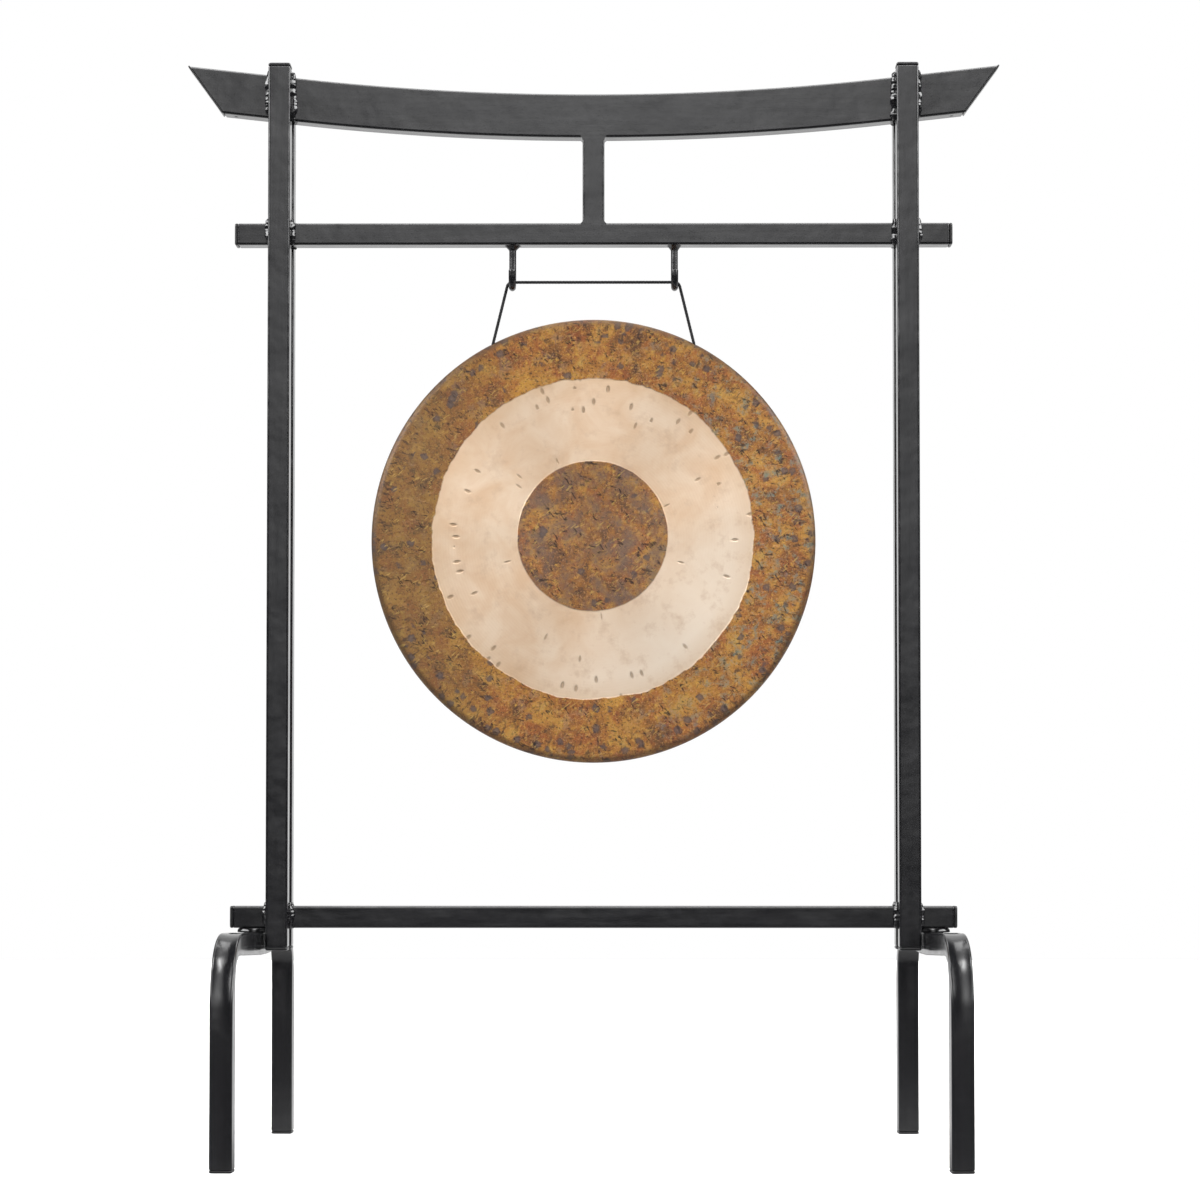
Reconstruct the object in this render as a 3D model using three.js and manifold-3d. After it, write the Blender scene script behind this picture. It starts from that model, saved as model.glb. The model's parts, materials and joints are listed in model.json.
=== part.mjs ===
// A gong stand of black square steel tube, with its gong hung between the posts.
// Millimetres, +Z up. The origin is on the floor, under the middle of the frame, and the front faces -Y.
// Left and right are as seen from the front, so left is -X.

import * as THREE from "three";
import Module from "manifold-3d";
import { mergeVertices } from "three/addons/utils/BufferGeometryUtils.js";

const wasm = await Module();
wasm.setup();

// Square tube
const tubeSide = 25;
const tubeWall = 1.5;
const tubeCorner = 2.5;

// Frame heights and widths
const archTop = 250;
const spacerThickness = 5;
const gongBayHeight = 758;
const strutLength = 99;
const postBelowBar = 25;
const postAboveTopBeam = 31.5;
const postSpacing = 718;
const middleBeamOverhang = 53;
const bottomBarOverhang = 55.5;

// Top beam, bowed up towards its tips
const topBeamHeight = 50;
const topBeamOverhang = 108;
const topBeamBowRadius = 3080;
const topBeamBowLength = 684;
const topBeamEndAngle = 36;
const endPlateThickness = 2;
const weldGap = 0.3;
const ventHoleDiameter = 4;
const ventHoleSetback = 15;
const topBeamRunOut = 10;

// End caps pushed into the tubes
const capFlange = 3.5;
const capEdge = 0.6;
const capPlugDepth = 12;
const capPlugWall = 2;
const capFit = 0.3;
const footCapFlange = 3;

// Feet
const archDepth = 515;
const archBendRadius = 65;
const archCornerRise = 6.1;
const archLevelRun = 50;
const archToPostGap = 3;
const archToeAngle = 2;
const spacerDiameter = 40;
const spacerRounding = 2.2;

// Foot bolts and their nuts
const boltDiameter = 8;
const boltLength = 20;
const boltHeadDiameter = 13;
const boltHeadHeight = 8;
const boltSocketWidth = 6;
const boltSocketDepth = 4;
const boltClearance = 0.4;
const accessHoleDiameter = 16;
const nutWidth = 13;
const nutHeight = 6.5;

// Hooks under the middle beam
const hookSpacing = 186;
const hookRod = 8;
const hookBendRadius = 12;
const hookDrop = 53.7;
const hookTipRise = 7;

// Gong
const gongDiameter = 508;
const gongDepth = 50;
const gongWall = 2;
const gongShoulder = 8;
const gongCrown = 1.5;
const gongRimTaper = 5;
const gongHoleDrop = 77.08;
const gongHoleSpacing = 231.78;
const gongHoleDiameter = 7;
const gongHoleDepth = 7.4;

// Cord and its stopper knots
const cordDiameter = 3.5;
const cordFit = 0.3;
const knotDiameter = 8;

// Steps in round shapes
const tubeCornerSteps = 2;
const halfTurnSteps = 16;
const bowSteps = 24;
const rodSides = 12;
const holeSides = 20;
const spacerSides = 24;
const gongSides = 64;
const shoulderSteps = 5;
const crownSteps = 5;
const cordSides = 8;
const knotSides = 12;
const knotRings = 7;
const hexagonSides = 6;

// A tool that cuts right through runs past both faces by this much
const overrun = 5;

// Places that follow from the sizes
const tubeInside = tubeSide - tubeWall - tubeWall;
const archLine = archTop - tubeSide / 2;
const barUnderside = archTop + spacerThickness;
const barLine = barUnderside + tubeSide / 2;
const middleBeamUnderside = barUnderside + tubeSide + gongBayHeight;
const middleBeamLine = middleBeamUnderside + tubeSide / 2;
const topBeamUnderside = middleBeamUnderside + tubeSide + strutLength;
const topBeamLine = topBeamUnderside + topBeamHeight / 2;
const postBottom = barUnderside - postBelowBar;
const postHeight = topBeamUnderside + topBeamHeight + postAboveTopBeam - postBottom;
const postLine = postSpacing / 2;
const topBeamLength = postSpacing + topBeamOverhang + topBeamOverhang;
const middleBeamLength = postSpacing + middleBeamOverhang + middleBeamOverhang;
const bottomBarLength = postSpacing + bottomBarOverhang + bottomBarOverhang;
const footLine = postLine + tubeSide / 2 + archToPostGap + tubeSide / 2;
const hookBendLine = middleBeamUnderside - hookDrop + hookRod / 2 + hookBendRadius;
const hangLine = -hookBendRadius;

const blackPaint = { color: 0x17171a, roughness: 0.38, metalness: 0.0 };
const blackPlastic = { color: 0x101012, roughness: 0.5, metalness: 0.0 };
const glossPlastic = { color: 0x0c0c0e, roughness: 0.2, metalness: 0.0 };
const blackSteel = { color: 0x2a2a2c, roughness: 0.35, metalness: 0.9 };
const bronze = { color: 0xb98a52, roughness: 0.35, metalness: 0.9 };
const blackCord = { color: 0x121214, roughness: 0.85, metalness: 0.0 };

const stand = new THREE.Group();

// Adds one sub-part to the stand, or to a group inside it.
function place(name, geometry, finish, parent = stand) {
  const mesh = new THREE.Mesh(geometry, new THREE.MeshStandardMaterial(finish));
  mesh.name = name;
  parent.add(mesh);
  return mesh;
}

// Turns a closed geometry into a solid that can be cut and joined.
function solidOf(geometry) {
  const bare = geometry.clone();
  bare.deleteAttribute("normal");
  bare.deleteAttribute("uv");
  const merged = mergeVertices(bare);
  const mesh = new wasm.Mesh({
    numProp: 3,
    vertProperties: Float32Array.from(merged.attributes.position.array),
    triVerts: Uint32Array.from(merged.index.array),
  });
  return new wasm.Manifold(mesh);
}

function geometryOf(solid) {
  const mesh = solid.getMesh();
  const geometry = new THREE.BufferGeometry();
  geometry.setAttribute("position", new THREE.BufferAttribute(mesh.vertProperties, 3));
  geometry.setIndex(new THREE.BufferAttribute(mesh.triVerts, 1));
  return geometry;
}

function radians(degrees) {
  return THREE.MathUtils.degToRad(degrees);
}

// Shapes of the tube, the caps and the plates

function roundedRectangle(width, height, corner) {
  const x = width / 2;
  const y = height / 2;
  const quarter = Math.PI / 2;
  const shape = new THREE.Shape();
  shape.moveTo(x, corner - y);
  shape.absarc(x - corner, y - corner, corner, 0, quarter, false);
  shape.absarc(corner - x, y - corner, corner, quarter, 2 * quarter, false);
  shape.absarc(corner - x, corner - y, corner, 2 * quarter, 3 * quarter, false);
  shape.absarc(x - corner, corner - y, corner, 3 * quarter, 4 * quarter, false);
  return shape;
}

function rectanglePoints(width, height) {
  const x = width / 2;
  const y = height / 2;
  return [
    new THREE.Vector2(-x, -y),
    new THREE.Vector2(x, -y),
    new THREE.Vector2(x, y),
    new THREE.Vector2(-x, y),
  ];
}

function rectangleHole(width, height) {
  return new THREE.Path(rectanglePoints(width, height).reverse());
}

function tubeSection(width, height) {
  const shape = roundedRectangle(width, height, tubeCorner);
  shape.holes.push(rectangleHole(width - tubeWall - tubeWall, height - tubeWall - tubeWall));
  return shape;
}

// A straight square tube that runs from its origin along +Z.
function straightTube(length) {
  return new THREE.ExtrudeGeometry(tubeSection(tubeSide, tubeSide), {
    depth: length,
    bevelEnabled: false,
    curveSegments: tubeCornerSteps / 2,
  });
}

// A path given by stations, each a point and the direction there. It has one step between two stations.
class StationPath extends THREE.Curve {
  constructor(stations) {
    super();
    this.stations = stations;
  }

  station(t) {
    return this.stations[Math.round(t * (this.stations.length - 1))];
  }

  getPoint(t, target = new THREE.Vector3()) {
    return target.copy(this.station(t).point);
  }

  getPointAt(t, target = new THREE.Vector3()) {
    return target.copy(this.station(t).point);
  }

  getTangentAt(t, target = new THREE.Vector3()) {
    return target.copy(this.station(t).direction);
  }
}

// Sweeps a section along stations. Its arcs get the given number of points.
function sweep(section, stations, arcPoints) {
  return new THREE.ExtrudeGeometry(section, {
    extrudePath: new StationPath(stations),
    steps: stations.length - 1,
    curveSegments: arcPoints / 2,
  });
}

// Stations along straight runs that are joined by round bends of one radius.
function bentStations(corners, radius) {
  const stations = [];
  const last = corners.length - 1;
  const heading = (from, to) => to.clone().sub(from).normalize();
  stations.push({ point: corners[0], direction: heading(corners[0], corners[1]) });
  for (let i = 1; i < last; i += 1) {
    const before = heading(corners[i - 1], corners[i]);
    const after = heading(corners[i], corners[i + 1]);
    const turn = before.angleTo(after);
    const inwards = after.clone().addScaledVector(before, -Math.cos(turn)).normalize();
    const start = corners[i].clone().addScaledVector(before, -radius * Math.tan(turn / 2));
    const steps = Math.ceil((halfTurnSteps * turn) / Math.PI);
    for (let step = 0; step <= steps; step += 1) {
      const angle = (turn * step) / steps;
      const point = start.clone();
      point.addScaledVector(before, radius * Math.sin(angle));
      point.addScaledVector(inwards, radius * (1 - Math.cos(angle)));
      const direction = before.clone().multiplyScalar(Math.cos(angle));
      direction.addScaledVector(inwards, Math.sin(angle));
      stations.push({ point, direction });
    }
  }
  stations.push({ point: corners[last], direction: heading(corners[last - 1], corners[last]) });
  return stations;
}

// A round tool along Z, from one height to another.
function roundTool(diameter, bottom, top, sides = holeSides) {
  const tool = new THREE.CylinderGeometry(diameter / 2, diameter / 2, top - bottom, sides);
  tool.rotateX(Math.PI / 2);
  tool.translate(0, 0, (bottom + top) / 2);
  return tool;
}

// Posts: a front and a rear tube on each side, with the beams running between them
const postTubeLength = postHeight - capFlange - capFlange;
const postTubeBottom = postBottom + capFlange;
const sides = [
  { side: "left", sign: -1 },
  { side: "right", sign: 1 },
];
const rows = [
  { row: "front", y: -tubeSide },
  { row: "rear", y: tubeSide },
];

for (const { side, sign } of sides) {
  for (const { row, y } of rows) {
    const post = place(`${row}_post_${side}`, straightTube(postTubeLength), blackPaint);
    post.position.set(sign * postLine, y, postTubeBottom);
  }
}

// Straight beams

// A tube that lies along X with its middle over the origin.
function crossTube(length) {
  const geometry = straightTube(length);
  geometry.translate(0, 0, -length / 2);
  geometry.rotateY(Math.PI / 2);
  return geometry;
}

const middleBeamTubeLength = middleBeamLength - capFlange - capFlange;
const middleBeam = place("middle_beam", crossTube(middleBeamTubeLength), blackPaint);
middleBeam.position.set(0, 0, middleBeamLine);

const bottomBarTubeLength = bottomBarLength - capFlange - capFlange;
const boltHole = boltDiameter + boltClearance + boltClearance;
let barSolid = solidOf(crossTube(bottomBarTubeLength));
for (const { sign } of sides) {
  const hole = roundTool(boltHole, -tubeSide / 2 - overrun, 0);
  hole.translate(sign * footLine, 0, 0);
  barSolid = barSolid.subtract(solidOf(hole));
}
const bottomBar = place("bottom_bar", geometryOf(barSolid), blackPaint);
bottomBar.position.set(0, 0, barLine);

const strut = place("centre_strut", straightTube(strutLength - weldGap), blackPaint);
strut.position.set(0, 0, middleBeamUnderside + tubeSide);

// Top beam

const bowHalf = topBeamBowLength / 2;
const bowDepth = Math.sqrt(topBeamBowRadius ** 2 - bowHalf ** 2);
const endSlope = bowHalf / bowDepth;

// Height of the beam's centre line above its middle.
function beamRise(x) {
  const reach = Math.min(Math.abs(x), bowHalf);
  const bow = topBeamBowRadius - Math.sqrt(topBeamBowRadius ** 2 - reach ** 2);
  return bow + endSlope * (Math.abs(x) - reach);
}

function beamStation(x) {
  const reach = THREE.MathUtils.clamp(x, -bowHalf, bowHalf);
  const slope = reach / Math.sqrt(topBeamBowRadius ** 2 - reach ** 2);
  return {
    point: new THREE.Vector3(x, 0, beamRise(x)),
    direction: new THREE.Vector3(1, 0, slope).normalize(),
  };
}

const beamHalf = topBeamLength / 2;
const beamStations = [beamStation(-beamHalf - topBeamRunOut)];
for (let step = 0; step <= bowSteps; step += 1) {
  beamStations.push(beamStation(-bowHalf + (topBeamBowLength * step) / bowSteps));
}
beamStations.push(beamStation(beamHalf + topBeamRunOut));
let beamSolid = solidOf(sweep(tubeSection(tubeSide, topBeamHeight), beamStations, tubeCornerSteps));

// Each end is cut on a slant, so that the upper edge reaches further out than the lower one.
const endAngle = radians(topBeamEndAngle);
const slopeAngle = Math.atan(endSlope);
const slantHeight = topBeamHeight / Math.cos(endAngle + slopeAngle);
const tipHeight = beamRise(beamHalf) + topBeamHeight / 2 / Math.cos(slopeAngle);

// A point of the slanted end plane, halfway down the end, and the same point behind the plate.
const endMiddleX = beamHalf - (slantHeight / 2) * Math.sin(endAngle);
const endMiddleZ = tipHeight - (slantHeight / 2) * Math.cos(endAngle);
const plateSetback = endPlateThickness + weldGap;

for (const { side, sign } of sides) {
  const cutter = new THREE.BoxGeometry(beamHalf, tubeSide + overrun, topBeamLength);
  cutter.translate(beamHalf / 2 - plateSetback, 0, 0);
  cutter.rotateY(endAngle);
  cutter.translate(endMiddleX, 0, endMiddleZ);
  if (sign < 0) {
    cutter.rotateZ(Math.PI);
  }
  beamSolid = beamSolid.subtract(solidOf(cutter));

  const vent = roundTool(ventHoleDiameter, -topBeamHeight, 0, rodSides);
  const ventX = endMiddleX - (slantHeight / 2) * Math.sin(endAngle) - ventHoleSetback;
  vent.translate(sign * ventX, 0, beamRise(ventX));
  beamSolid = beamSolid.subtract(solidOf(vent));

  const plate = new THREE.ExtrudeGeometry(roundedRectangle(slantHeight, tubeSide, tubeCorner), {
    depth: endPlateThickness,
    bevelEnabled: false,
    curveSegments: tubeCornerSteps / 2,
  });
  plate.translate(0, 0, -endPlateThickness);
  plate.rotateY(Math.PI / 2);
  const plateMesh = place(`top_beam_end_plate_${side}`, plate, blackPaint);
  plateMesh.rotation.y = sign > 0 ? endAngle : Math.PI - endAngle;
  plateMesh.position.set(sign * endMiddleX, 0, topBeamLine + endMiddleZ);
}

const topBeam = place("top_beam", geometryOf(beamSolid), blackPaint);
topBeam.position.set(0, 0, topBeamLine);

// End caps

// A push-in cap: its flange stands on the tube's end at z = 0, and its hollow plug reaches down inside.
function capGeometry(flange) {
  const plate = new THREE.ExtrudeGeometry(roundedRectangle(tubeSide, tubeSide, tubeCorner), {
    depth: flange - capEdge - capEdge,
    bevelEnabled: true,
    bevelSize: capEdge,
    bevelThickness: capEdge,
    bevelOffset: -capEdge,
    bevelSegments: 1,
    curveSegments: tubeCornerSteps / 2,
  });
  plate.translate(0, 0, capEdge);
  const plugSide = tubeInside - capFit - capFit;
  const wallSection = new THREE.Shape(rectanglePoints(plugSide, plugSide));
  const hollowSide = plugSide - capPlugWall - capPlugWall;
  wallSection.holes.push(rectangleHole(hollowSide, hollowSide));
  const plug = new THREE.ExtrudeGeometry(wallSection, {
    depth: capPlugDepth + flange / 2,
    bevelEnabled: false,
  });
  plug.translate(0, 0, -capPlugDepth);
  return geometryOf(solidOf(plate).add(solidOf(plug)));
}

const capShape = capGeometry(capFlange);
for (const { side, sign } of sides) {
  for (const { row, y } of rows) {
    const upper = place(`${row}_post_top_cap_${side}`, capShape, blackPlastic);
    upper.position.set(sign * postLine, y, postTubeBottom + postTubeLength);
    const lower = place(`${row}_post_bottom_cap_${side}`, capShape, blackPlastic);
    lower.rotation.x = Math.PI;
    lower.position.set(sign * postLine, y, postTubeBottom);
  }
  const beams = [
    { name: "middle_beam_cap", length: middleBeamTubeLength, z: middleBeamLine },
    { name: "bottom_bar_cap", length: bottomBarTubeLength, z: barLine },
  ];
  for (const { name, length, z } of beams) {
    const cap = place(`${name}_${side}`, capShape, blackPlastic);
    cap.rotation.y = (sign * Math.PI) / 2;
    cap.position.set((sign * length) / 2, 0, z);
  }
}

// Hooks

function circle(diameter) {
  const shape = new THREE.Shape();
  shape.absarc(0, 0, diameter / 2, 0, 2 * Math.PI, false);
  return shape;
}

const hookLow = hookBendLine - hookBendRadius;
const hookCorners = [
  new THREE.Vector3(0, 0, middleBeamUnderside),
  new THREE.Vector3(0, 0, hookLow),
  new THREE.Vector3(0, -hookBendRadius - hookBendRadius, hookLow),
  new THREE.Vector3(0, -hookBendRadius - hookBendRadius, hookBendLine + hookTipRise),
];
for (const { side, sign } of sides) {
  const rod = sweep(circle(hookRod), bentStations(hookCorners, hookBendRadius), rodSides);
  const hook = place(`hook_${side}`, rod, blackPaint);
  hook.position.x = (sign * hookSpacing) / 2;
}

// Feet: a bent tube on each side, held under the bottom bar by one bolt. Its run is level only under
// the bar, and rises a little towards both bends.

const footCapShape = capGeometry(footCapFlange);
const legLine = archDepth / 2 - tubeSide / 2;
const archCorners = [
  new THREE.Vector3(0, -legLine, footCapFlange),
  new THREE.Vector3(0, -legLine, archLine + archCornerRise),
  new THREE.Vector3(0, -archLevelRun / 2, archLine),
  new THREE.Vector3(0, archLevelRun / 2, archLine),
  new THREE.Vector3(0, legLine, archLine + archCornerRise),
  new THREE.Vector3(0, legLine, footCapFlange),
];
const archUncut = sweep(
  tubeSection(tubeSide, tubeSide),
  bentStations(archCorners, archBendRadius),
  tubeCornerSteps,
);
const archSolid = solidOf(archUncut)
  .subtract(solidOf(roundTool(boltHole, archLine, archTop + overrun)))
  .subtract(solidOf(roundTool(accessHoleDiameter, archTop - tubeSide - overrun, archLine)));
const archShape = geometryOf(archSolid);

function spacerGeometry() {
  const bore = boltHole / 2;
  const rim = spacerDiameter / 2;
  const flat = rim - spacerRounding;
  const arc = [];
  for (let step = 0; step <= shoulderSteps; step += 1) {
    const angle = -Math.PI / 2 + (Math.PI * step) / shoulderSteps;
    const r = flat + spacerRounding * Math.cos(angle);
    arc.push(new THREE.Vector2(r, (spacerThickness / 2) * (1 + Math.sin(angle))));
  }
  const start = new THREE.Vector2(bore, 0);
  const outline = [start, ...arc, new THREE.Vector2(bore, spacerThickness), start.clone()];
  const ring = new THREE.LatheGeometry(outline, spacerSides);
  ring.rotateX(Math.PI / 2);
  return ring;
}

// A socket-head screw whose head is under the origin and whose shank runs up from it.
function boltGeometry() {
  const head = solidOf(roundTool(boltHeadDiameter, -boltHeadHeight, 0));
  const shank = solidOf(roundTool(boltDiameter, -boltHeadHeight / 2, boltLength, rodSides));
  const across = boltSocketWidth / Math.cos(Math.PI / hexagonSides);
  const socketTop = boltSocketDepth - boltHeadHeight;
  const socket = solidOf(roundTool(across, -boltHeadHeight - overrun, socketTop, hexagonSides));
  return geometryOf(head.add(shank).subtract(socket));
}

function nutGeometry() {
  const across = nutWidth / Math.cos(Math.PI / hexagonSides);
  const body = solidOf(roundTool(across, 0, nutHeight, hexagonSides));
  const bore = solidOf(roundTool(boltHole, -overrun, nutHeight + overrun, rodSides));
  return geometryOf(body.subtract(bore));
}

for (const { side, sign } of sides) {
  const foot = new THREE.Group();
  foot.position.x = sign * footLine;
  stand.add(foot);

  const arch = new THREE.Group();
  arch.rotation.z = sign * radians(archToeAngle);
  foot.add(arch);
  place(`foot_arch_${side}`, archShape, blackPaint, arch);
  for (const { row, y } of rows) {
    const cap = place(`foot_cap_${row}_${side}`, footCapShape, blackPlastic, arch);
    cap.rotation.x = Math.PI;
    cap.position.set(0, Math.sign(y) * legLine, footCapFlange);
  }

  const spacer = place(`foot_spacer_${side}`, spacerGeometry(), glossPlastic, foot);
  spacer.position.z = archTop;
  const bolt = place(`foot_bolt_${side}`, boltGeometry(), blackSteel, foot);
  bolt.position.z = archTop - tubeWall;
  const nut = place(`foot_nut_${side}`, nutGeometry(), blackSteel, foot);
  nut.position.z = barUnderside + tubeWall;
}

// Gong: a slightly crowned bronze disc with its rim turned back, made about the Y axis

const gongRadius = gongDiameter / 2;
const faceRadius = gongRadius - gongShoulder;
const gongHoleAngle = Math.asin(gongHoleSpacing / gongDiameter);

// Outline of one skin, from the middle of the face to the edge of the rim. Depth 0 is the face's edge.
function gongSkin(inset) {
  const points = [];
  for (let step = 0; step < crownSteps; step += 1) {
    const share = step / crownSteps;
    points.push(new THREE.Vector2(faceRadius * share, inset - gongCrown * (1 - share ** 2)));
  }
  const bend = gongShoulder - inset;
  for (let step = 0; step <= shoulderSteps; step += 1) {
    const angle = ((Math.PI / 2) * step) / shoulderSteps;
    const r = faceRadius + bend * Math.sin(angle);
    points.push(new THREE.Vector2(r, gongShoulder - bend * Math.cos(angle)));
  }
  points.push(new THREE.Vector2(gongRadius - gongRimTaper - inset, gongDepth));
  return points;
}

function gongGeometry() {
  const outline = [...gongSkin(0), ...gongSkin(gongWall).reverse()];
  let dish = solidOf(new THREE.LatheGeometry(outline, gongSides));
  for (const { sign } of sides) {
    const drill = roundTool(gongHoleDiameter, faceRadius - overrun, gongRadius + overrun);
    drill.rotateY(sign * gongHoleAngle);
    drill.translate(0, gongHoleDepth, 0);
    dish = dish.subtract(solidOf(drill));
  }
  return geometryOf(dish);
}

// The holes hang at one place under the hooks, so a gong of another diameter hangs from the same cord.
const hanging = new THREE.Group();
hanging.position.set(0, hangLine, hookBendLine);
stand.add(hanging);
const gongCentreDrop = gongHoleDrop + gongRadius * Math.cos(gongHoleAngle);
const gong = place("gong", gongGeometry(), bronze, hanging);
gong.position.set(0, -gongHoleDepth, -gongCentreDrop);

// Cord: over both hooks and down through the holes in the gong's rim

// Points of the right half, from the middle of the span to the end: x, and the drop below the hooks' bends.
const cordHalf = [
  [0, 5.9],
  [30, 5.9],
  [60, 5.9],
  [88, 5.9],
  [93, 5.9],
  [94.58, 6.11],
  [96.05, 6.72],
  [97.31, 7.69],
  [98.28, 8.95],
  [98.93, 10.55],
  [102.86, 26.6],
  [106.77, 42.6],
  [110.69, 58.6],
  [115.45, 77.98],
  [116.09, 80.6],
];

const cordPoints = [...cordHalf.slice(1).reverse().map(([x, drop]) => [-x, drop]), ...cordHalf];
const cordLine = cordPoints.map(([x, drop]) => new THREE.Vector3(x, 0, -drop));
const cordStations = cordLine.map((point, i) => {
  const before = cordLine[Math.max(i - 1, 0)];
  const after = cordLine[Math.min(i + 1, cordLine.length - 1)];
  return { point, direction: after.clone().sub(before).normalize() };
});
place("suspension_cord", sweep(circle(cordDiameter), cordStations, cordSides), blackCord, hanging);

for (const { side, sign } of sides) {
  const end = sign > 0 ? cordStations[cordStations.length - 1] : cordStations[0];
  const knot = place(
    `cord_knot_${side}`,
    new THREE.SphereGeometry(knotDiameter / 2, knotSides, knotRings),
    blackCord,
    hanging,
  );
  const reach = knotDiameter / 2 + cordFit;
  knot.position.copy(end.point).addScaledVector(end.direction, sign * reach);
}

export default stand;
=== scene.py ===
"""A black square-tube gong stand with its hammered gong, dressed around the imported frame."""

import json
import math

import bmesh
import bpy
import numpy as np
from mathutils import Matrix, Vector

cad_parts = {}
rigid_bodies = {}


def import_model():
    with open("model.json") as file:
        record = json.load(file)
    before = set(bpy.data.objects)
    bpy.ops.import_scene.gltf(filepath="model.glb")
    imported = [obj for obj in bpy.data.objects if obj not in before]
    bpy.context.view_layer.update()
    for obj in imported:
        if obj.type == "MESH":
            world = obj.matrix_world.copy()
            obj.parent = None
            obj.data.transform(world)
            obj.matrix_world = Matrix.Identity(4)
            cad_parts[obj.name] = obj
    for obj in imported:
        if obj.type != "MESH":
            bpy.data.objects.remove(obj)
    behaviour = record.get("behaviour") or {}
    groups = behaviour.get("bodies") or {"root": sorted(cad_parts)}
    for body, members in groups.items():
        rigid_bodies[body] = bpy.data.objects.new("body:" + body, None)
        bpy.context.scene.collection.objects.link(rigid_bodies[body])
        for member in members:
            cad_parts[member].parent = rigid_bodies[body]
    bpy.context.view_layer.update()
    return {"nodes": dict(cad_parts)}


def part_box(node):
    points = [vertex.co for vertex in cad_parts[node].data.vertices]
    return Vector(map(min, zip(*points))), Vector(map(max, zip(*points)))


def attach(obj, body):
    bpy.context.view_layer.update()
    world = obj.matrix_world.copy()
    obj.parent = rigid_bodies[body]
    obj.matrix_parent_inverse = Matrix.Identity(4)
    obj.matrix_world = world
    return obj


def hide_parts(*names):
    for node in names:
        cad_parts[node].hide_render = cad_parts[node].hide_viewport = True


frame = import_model()

# Every size below is in millimetres, and the meshes are made in metres.
MM = 0.001

# Camera, at the height and distance that the tubes' edges give
CAMERA_PLACE = (30, -3933, 360)
CAMERA_PITCH = 2.169
CAMERA_TURN = 0.329
CAMERA_LENS = 103.1
CAMERA_SHIFT = 0.088

# Square tube
TUBE = 25
TUBE_WALL = 1.5
TUBE_CORNER = 2.5
TUBE_END_ROUNDING = 1.9
TUBE_RIM = 0.1
BORE_CORNER = 1
CORNER_STEPS = 6
FACE_STRIP = 0.4
WALL_DRILL = 8

# Top beam
BEAM_HEIGHT = 50
BEAM_LENGTH = 934
BEAM_BOW_RADIUS = 3080
BEAM_BOW_LENGTH = 684
BEAM_END_ANGLE = math.radians(36)
BEAM_END_MARGIN = 6
BEAM_LINE = 1187
BEAM_STATIONS = 48
PLATE_THICKNESS = 2
PLATE_GAP = 0.3
PLATE_ROUNDING = 0.7
VENT_DIAMETER = 4
VENT_SETBACK = 15
STRUT_END_ROUNDING = 0.1

# Feet
FOOT_LINE = 387
ARCH_DEPTH = 515
ARCH_TOP = 250
ARCH_BEND = 65
ARCH_TOE = math.radians(2)
ARCH_BOTTOM = 3
ARCH_BEND_STEPS = 28
ARCH_RISE = 6.1
ARCH_LEVEL_RUN = 50
ARCH_INSIDE_RADIUS = 26
ARCH_DENT_OUTSIDE = 2.4
ARCH_DENT_INSIDE = 1
ARCH_DENT_RUN = 36
ARCH_DENT_STEPS = 8
ARCH_BULGE = 0.3
BOLT_HOLE = 8.8
ACCESS_HOLE = 16

# Hooks
HOOK_LINE = 93
HOOK_ROD = 8
HOOK_BEND = 12
HOOK_TIP = 1007.3
HOOK_BEND_LINE = 1000.3
HOOK_ROOT = 1038
HOOK_TIP_ROUNDING = 1.2
ROD_SIDES = 24

# Caps and spacers
CAP_FLANGE = 3.5
FOOT_CAP_FLANGE = 3
CAP_ROUNDING = 1.7
CAP_PLUG = 12
CAP_PLUG_WALL = 2
CAP_FIT = 0.3
CAP_RIB = 0.4
SPACER_ROUNDING = 3
SPACER_SEAT = 1
SPACER_EASE = 0.4

# Welds
WELD_OFFSET = 0.5
WELD_RADIUS = 5
WELD_OVERRUN = (0.5, 4)
WELD_SINK = 0.3
HOOK_WELD_FLARE = 5
HOOK_WELD_LENGTH = 5.5
HOOK_WELD_EDGE = 0.2
STRUT_WELD_FLARE = 2.2
STRUT_WELD_LENGTH = 3.2
STRUT_WELD_FILL = 2.8
STRUT_WELD_EDGE = 0.2
STRUT_WELD_PROUD = 0.03

# Gong
GONG_PLACE = (0, -19.4, 697.2)
GONG_RADIUS = 254
GONG_DEPTH = 50
GONG_WALL = 2
GONG_SHOULDER = 8
GONG_CROWN = 1.5
GONG_TAPER = 5
GONG_LIP_ROUNDING = 0.6
GONG_LIP_EASE = 0.1
GONG_SEGMENTS = 376
GONG_FACE_ROWS = 150
GONG_BACK_ROWS = 60
RIM_HOLE_ANGLE = math.radians(27.145)
RIM_HOLE_DIAMETER = 7
RIM_HOLE_DEPTH = 7.4
RIM_DRILL = 20
RIM_DRILL_INSET = 4
HUB_RADIUS = 86
HUB_OFFSET = (-0.9, 4.8)
RING_RADIUS = 183.5
RING_OFFSET = (-0.9, 1.8)

# Cord and knots
CORD_DIAMETER = 3.5
CORD_LAY = 11
CORD_STEP = 0.6
CORD_SIDES = 24
CORD_LINE = -12
STRAND_GROOVE = 0.14
KNOT_CORD = 2.5
KNOT_LAY = 8
KNOT_RADIUS = 1.9
KNOT_LOBE = 0.95

# Points of the cord's right half, from the middle of the span to its end: x and height.
CORD_HALF = (
    (0, 994.4), (30, 994.4), (60, 994.4), (88, 994.4), (93, 994.4), (94.58, 994.19),
    (96.05, 993.58), (97.31, 992.61), (98.28, 991.35), (98.93, 989.75), (102.86, 973.7),
    (106.77, 957.7), (110.69, 941.7), (115.45, 922.32), (116.09, 919.7),
)

# Studio
FLOOR_HALF = 6000
DARK = 0.03

# The wave texture repeats at this share of its scale.
WAVE_SCALE = 2 * math.pi / 20

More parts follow.
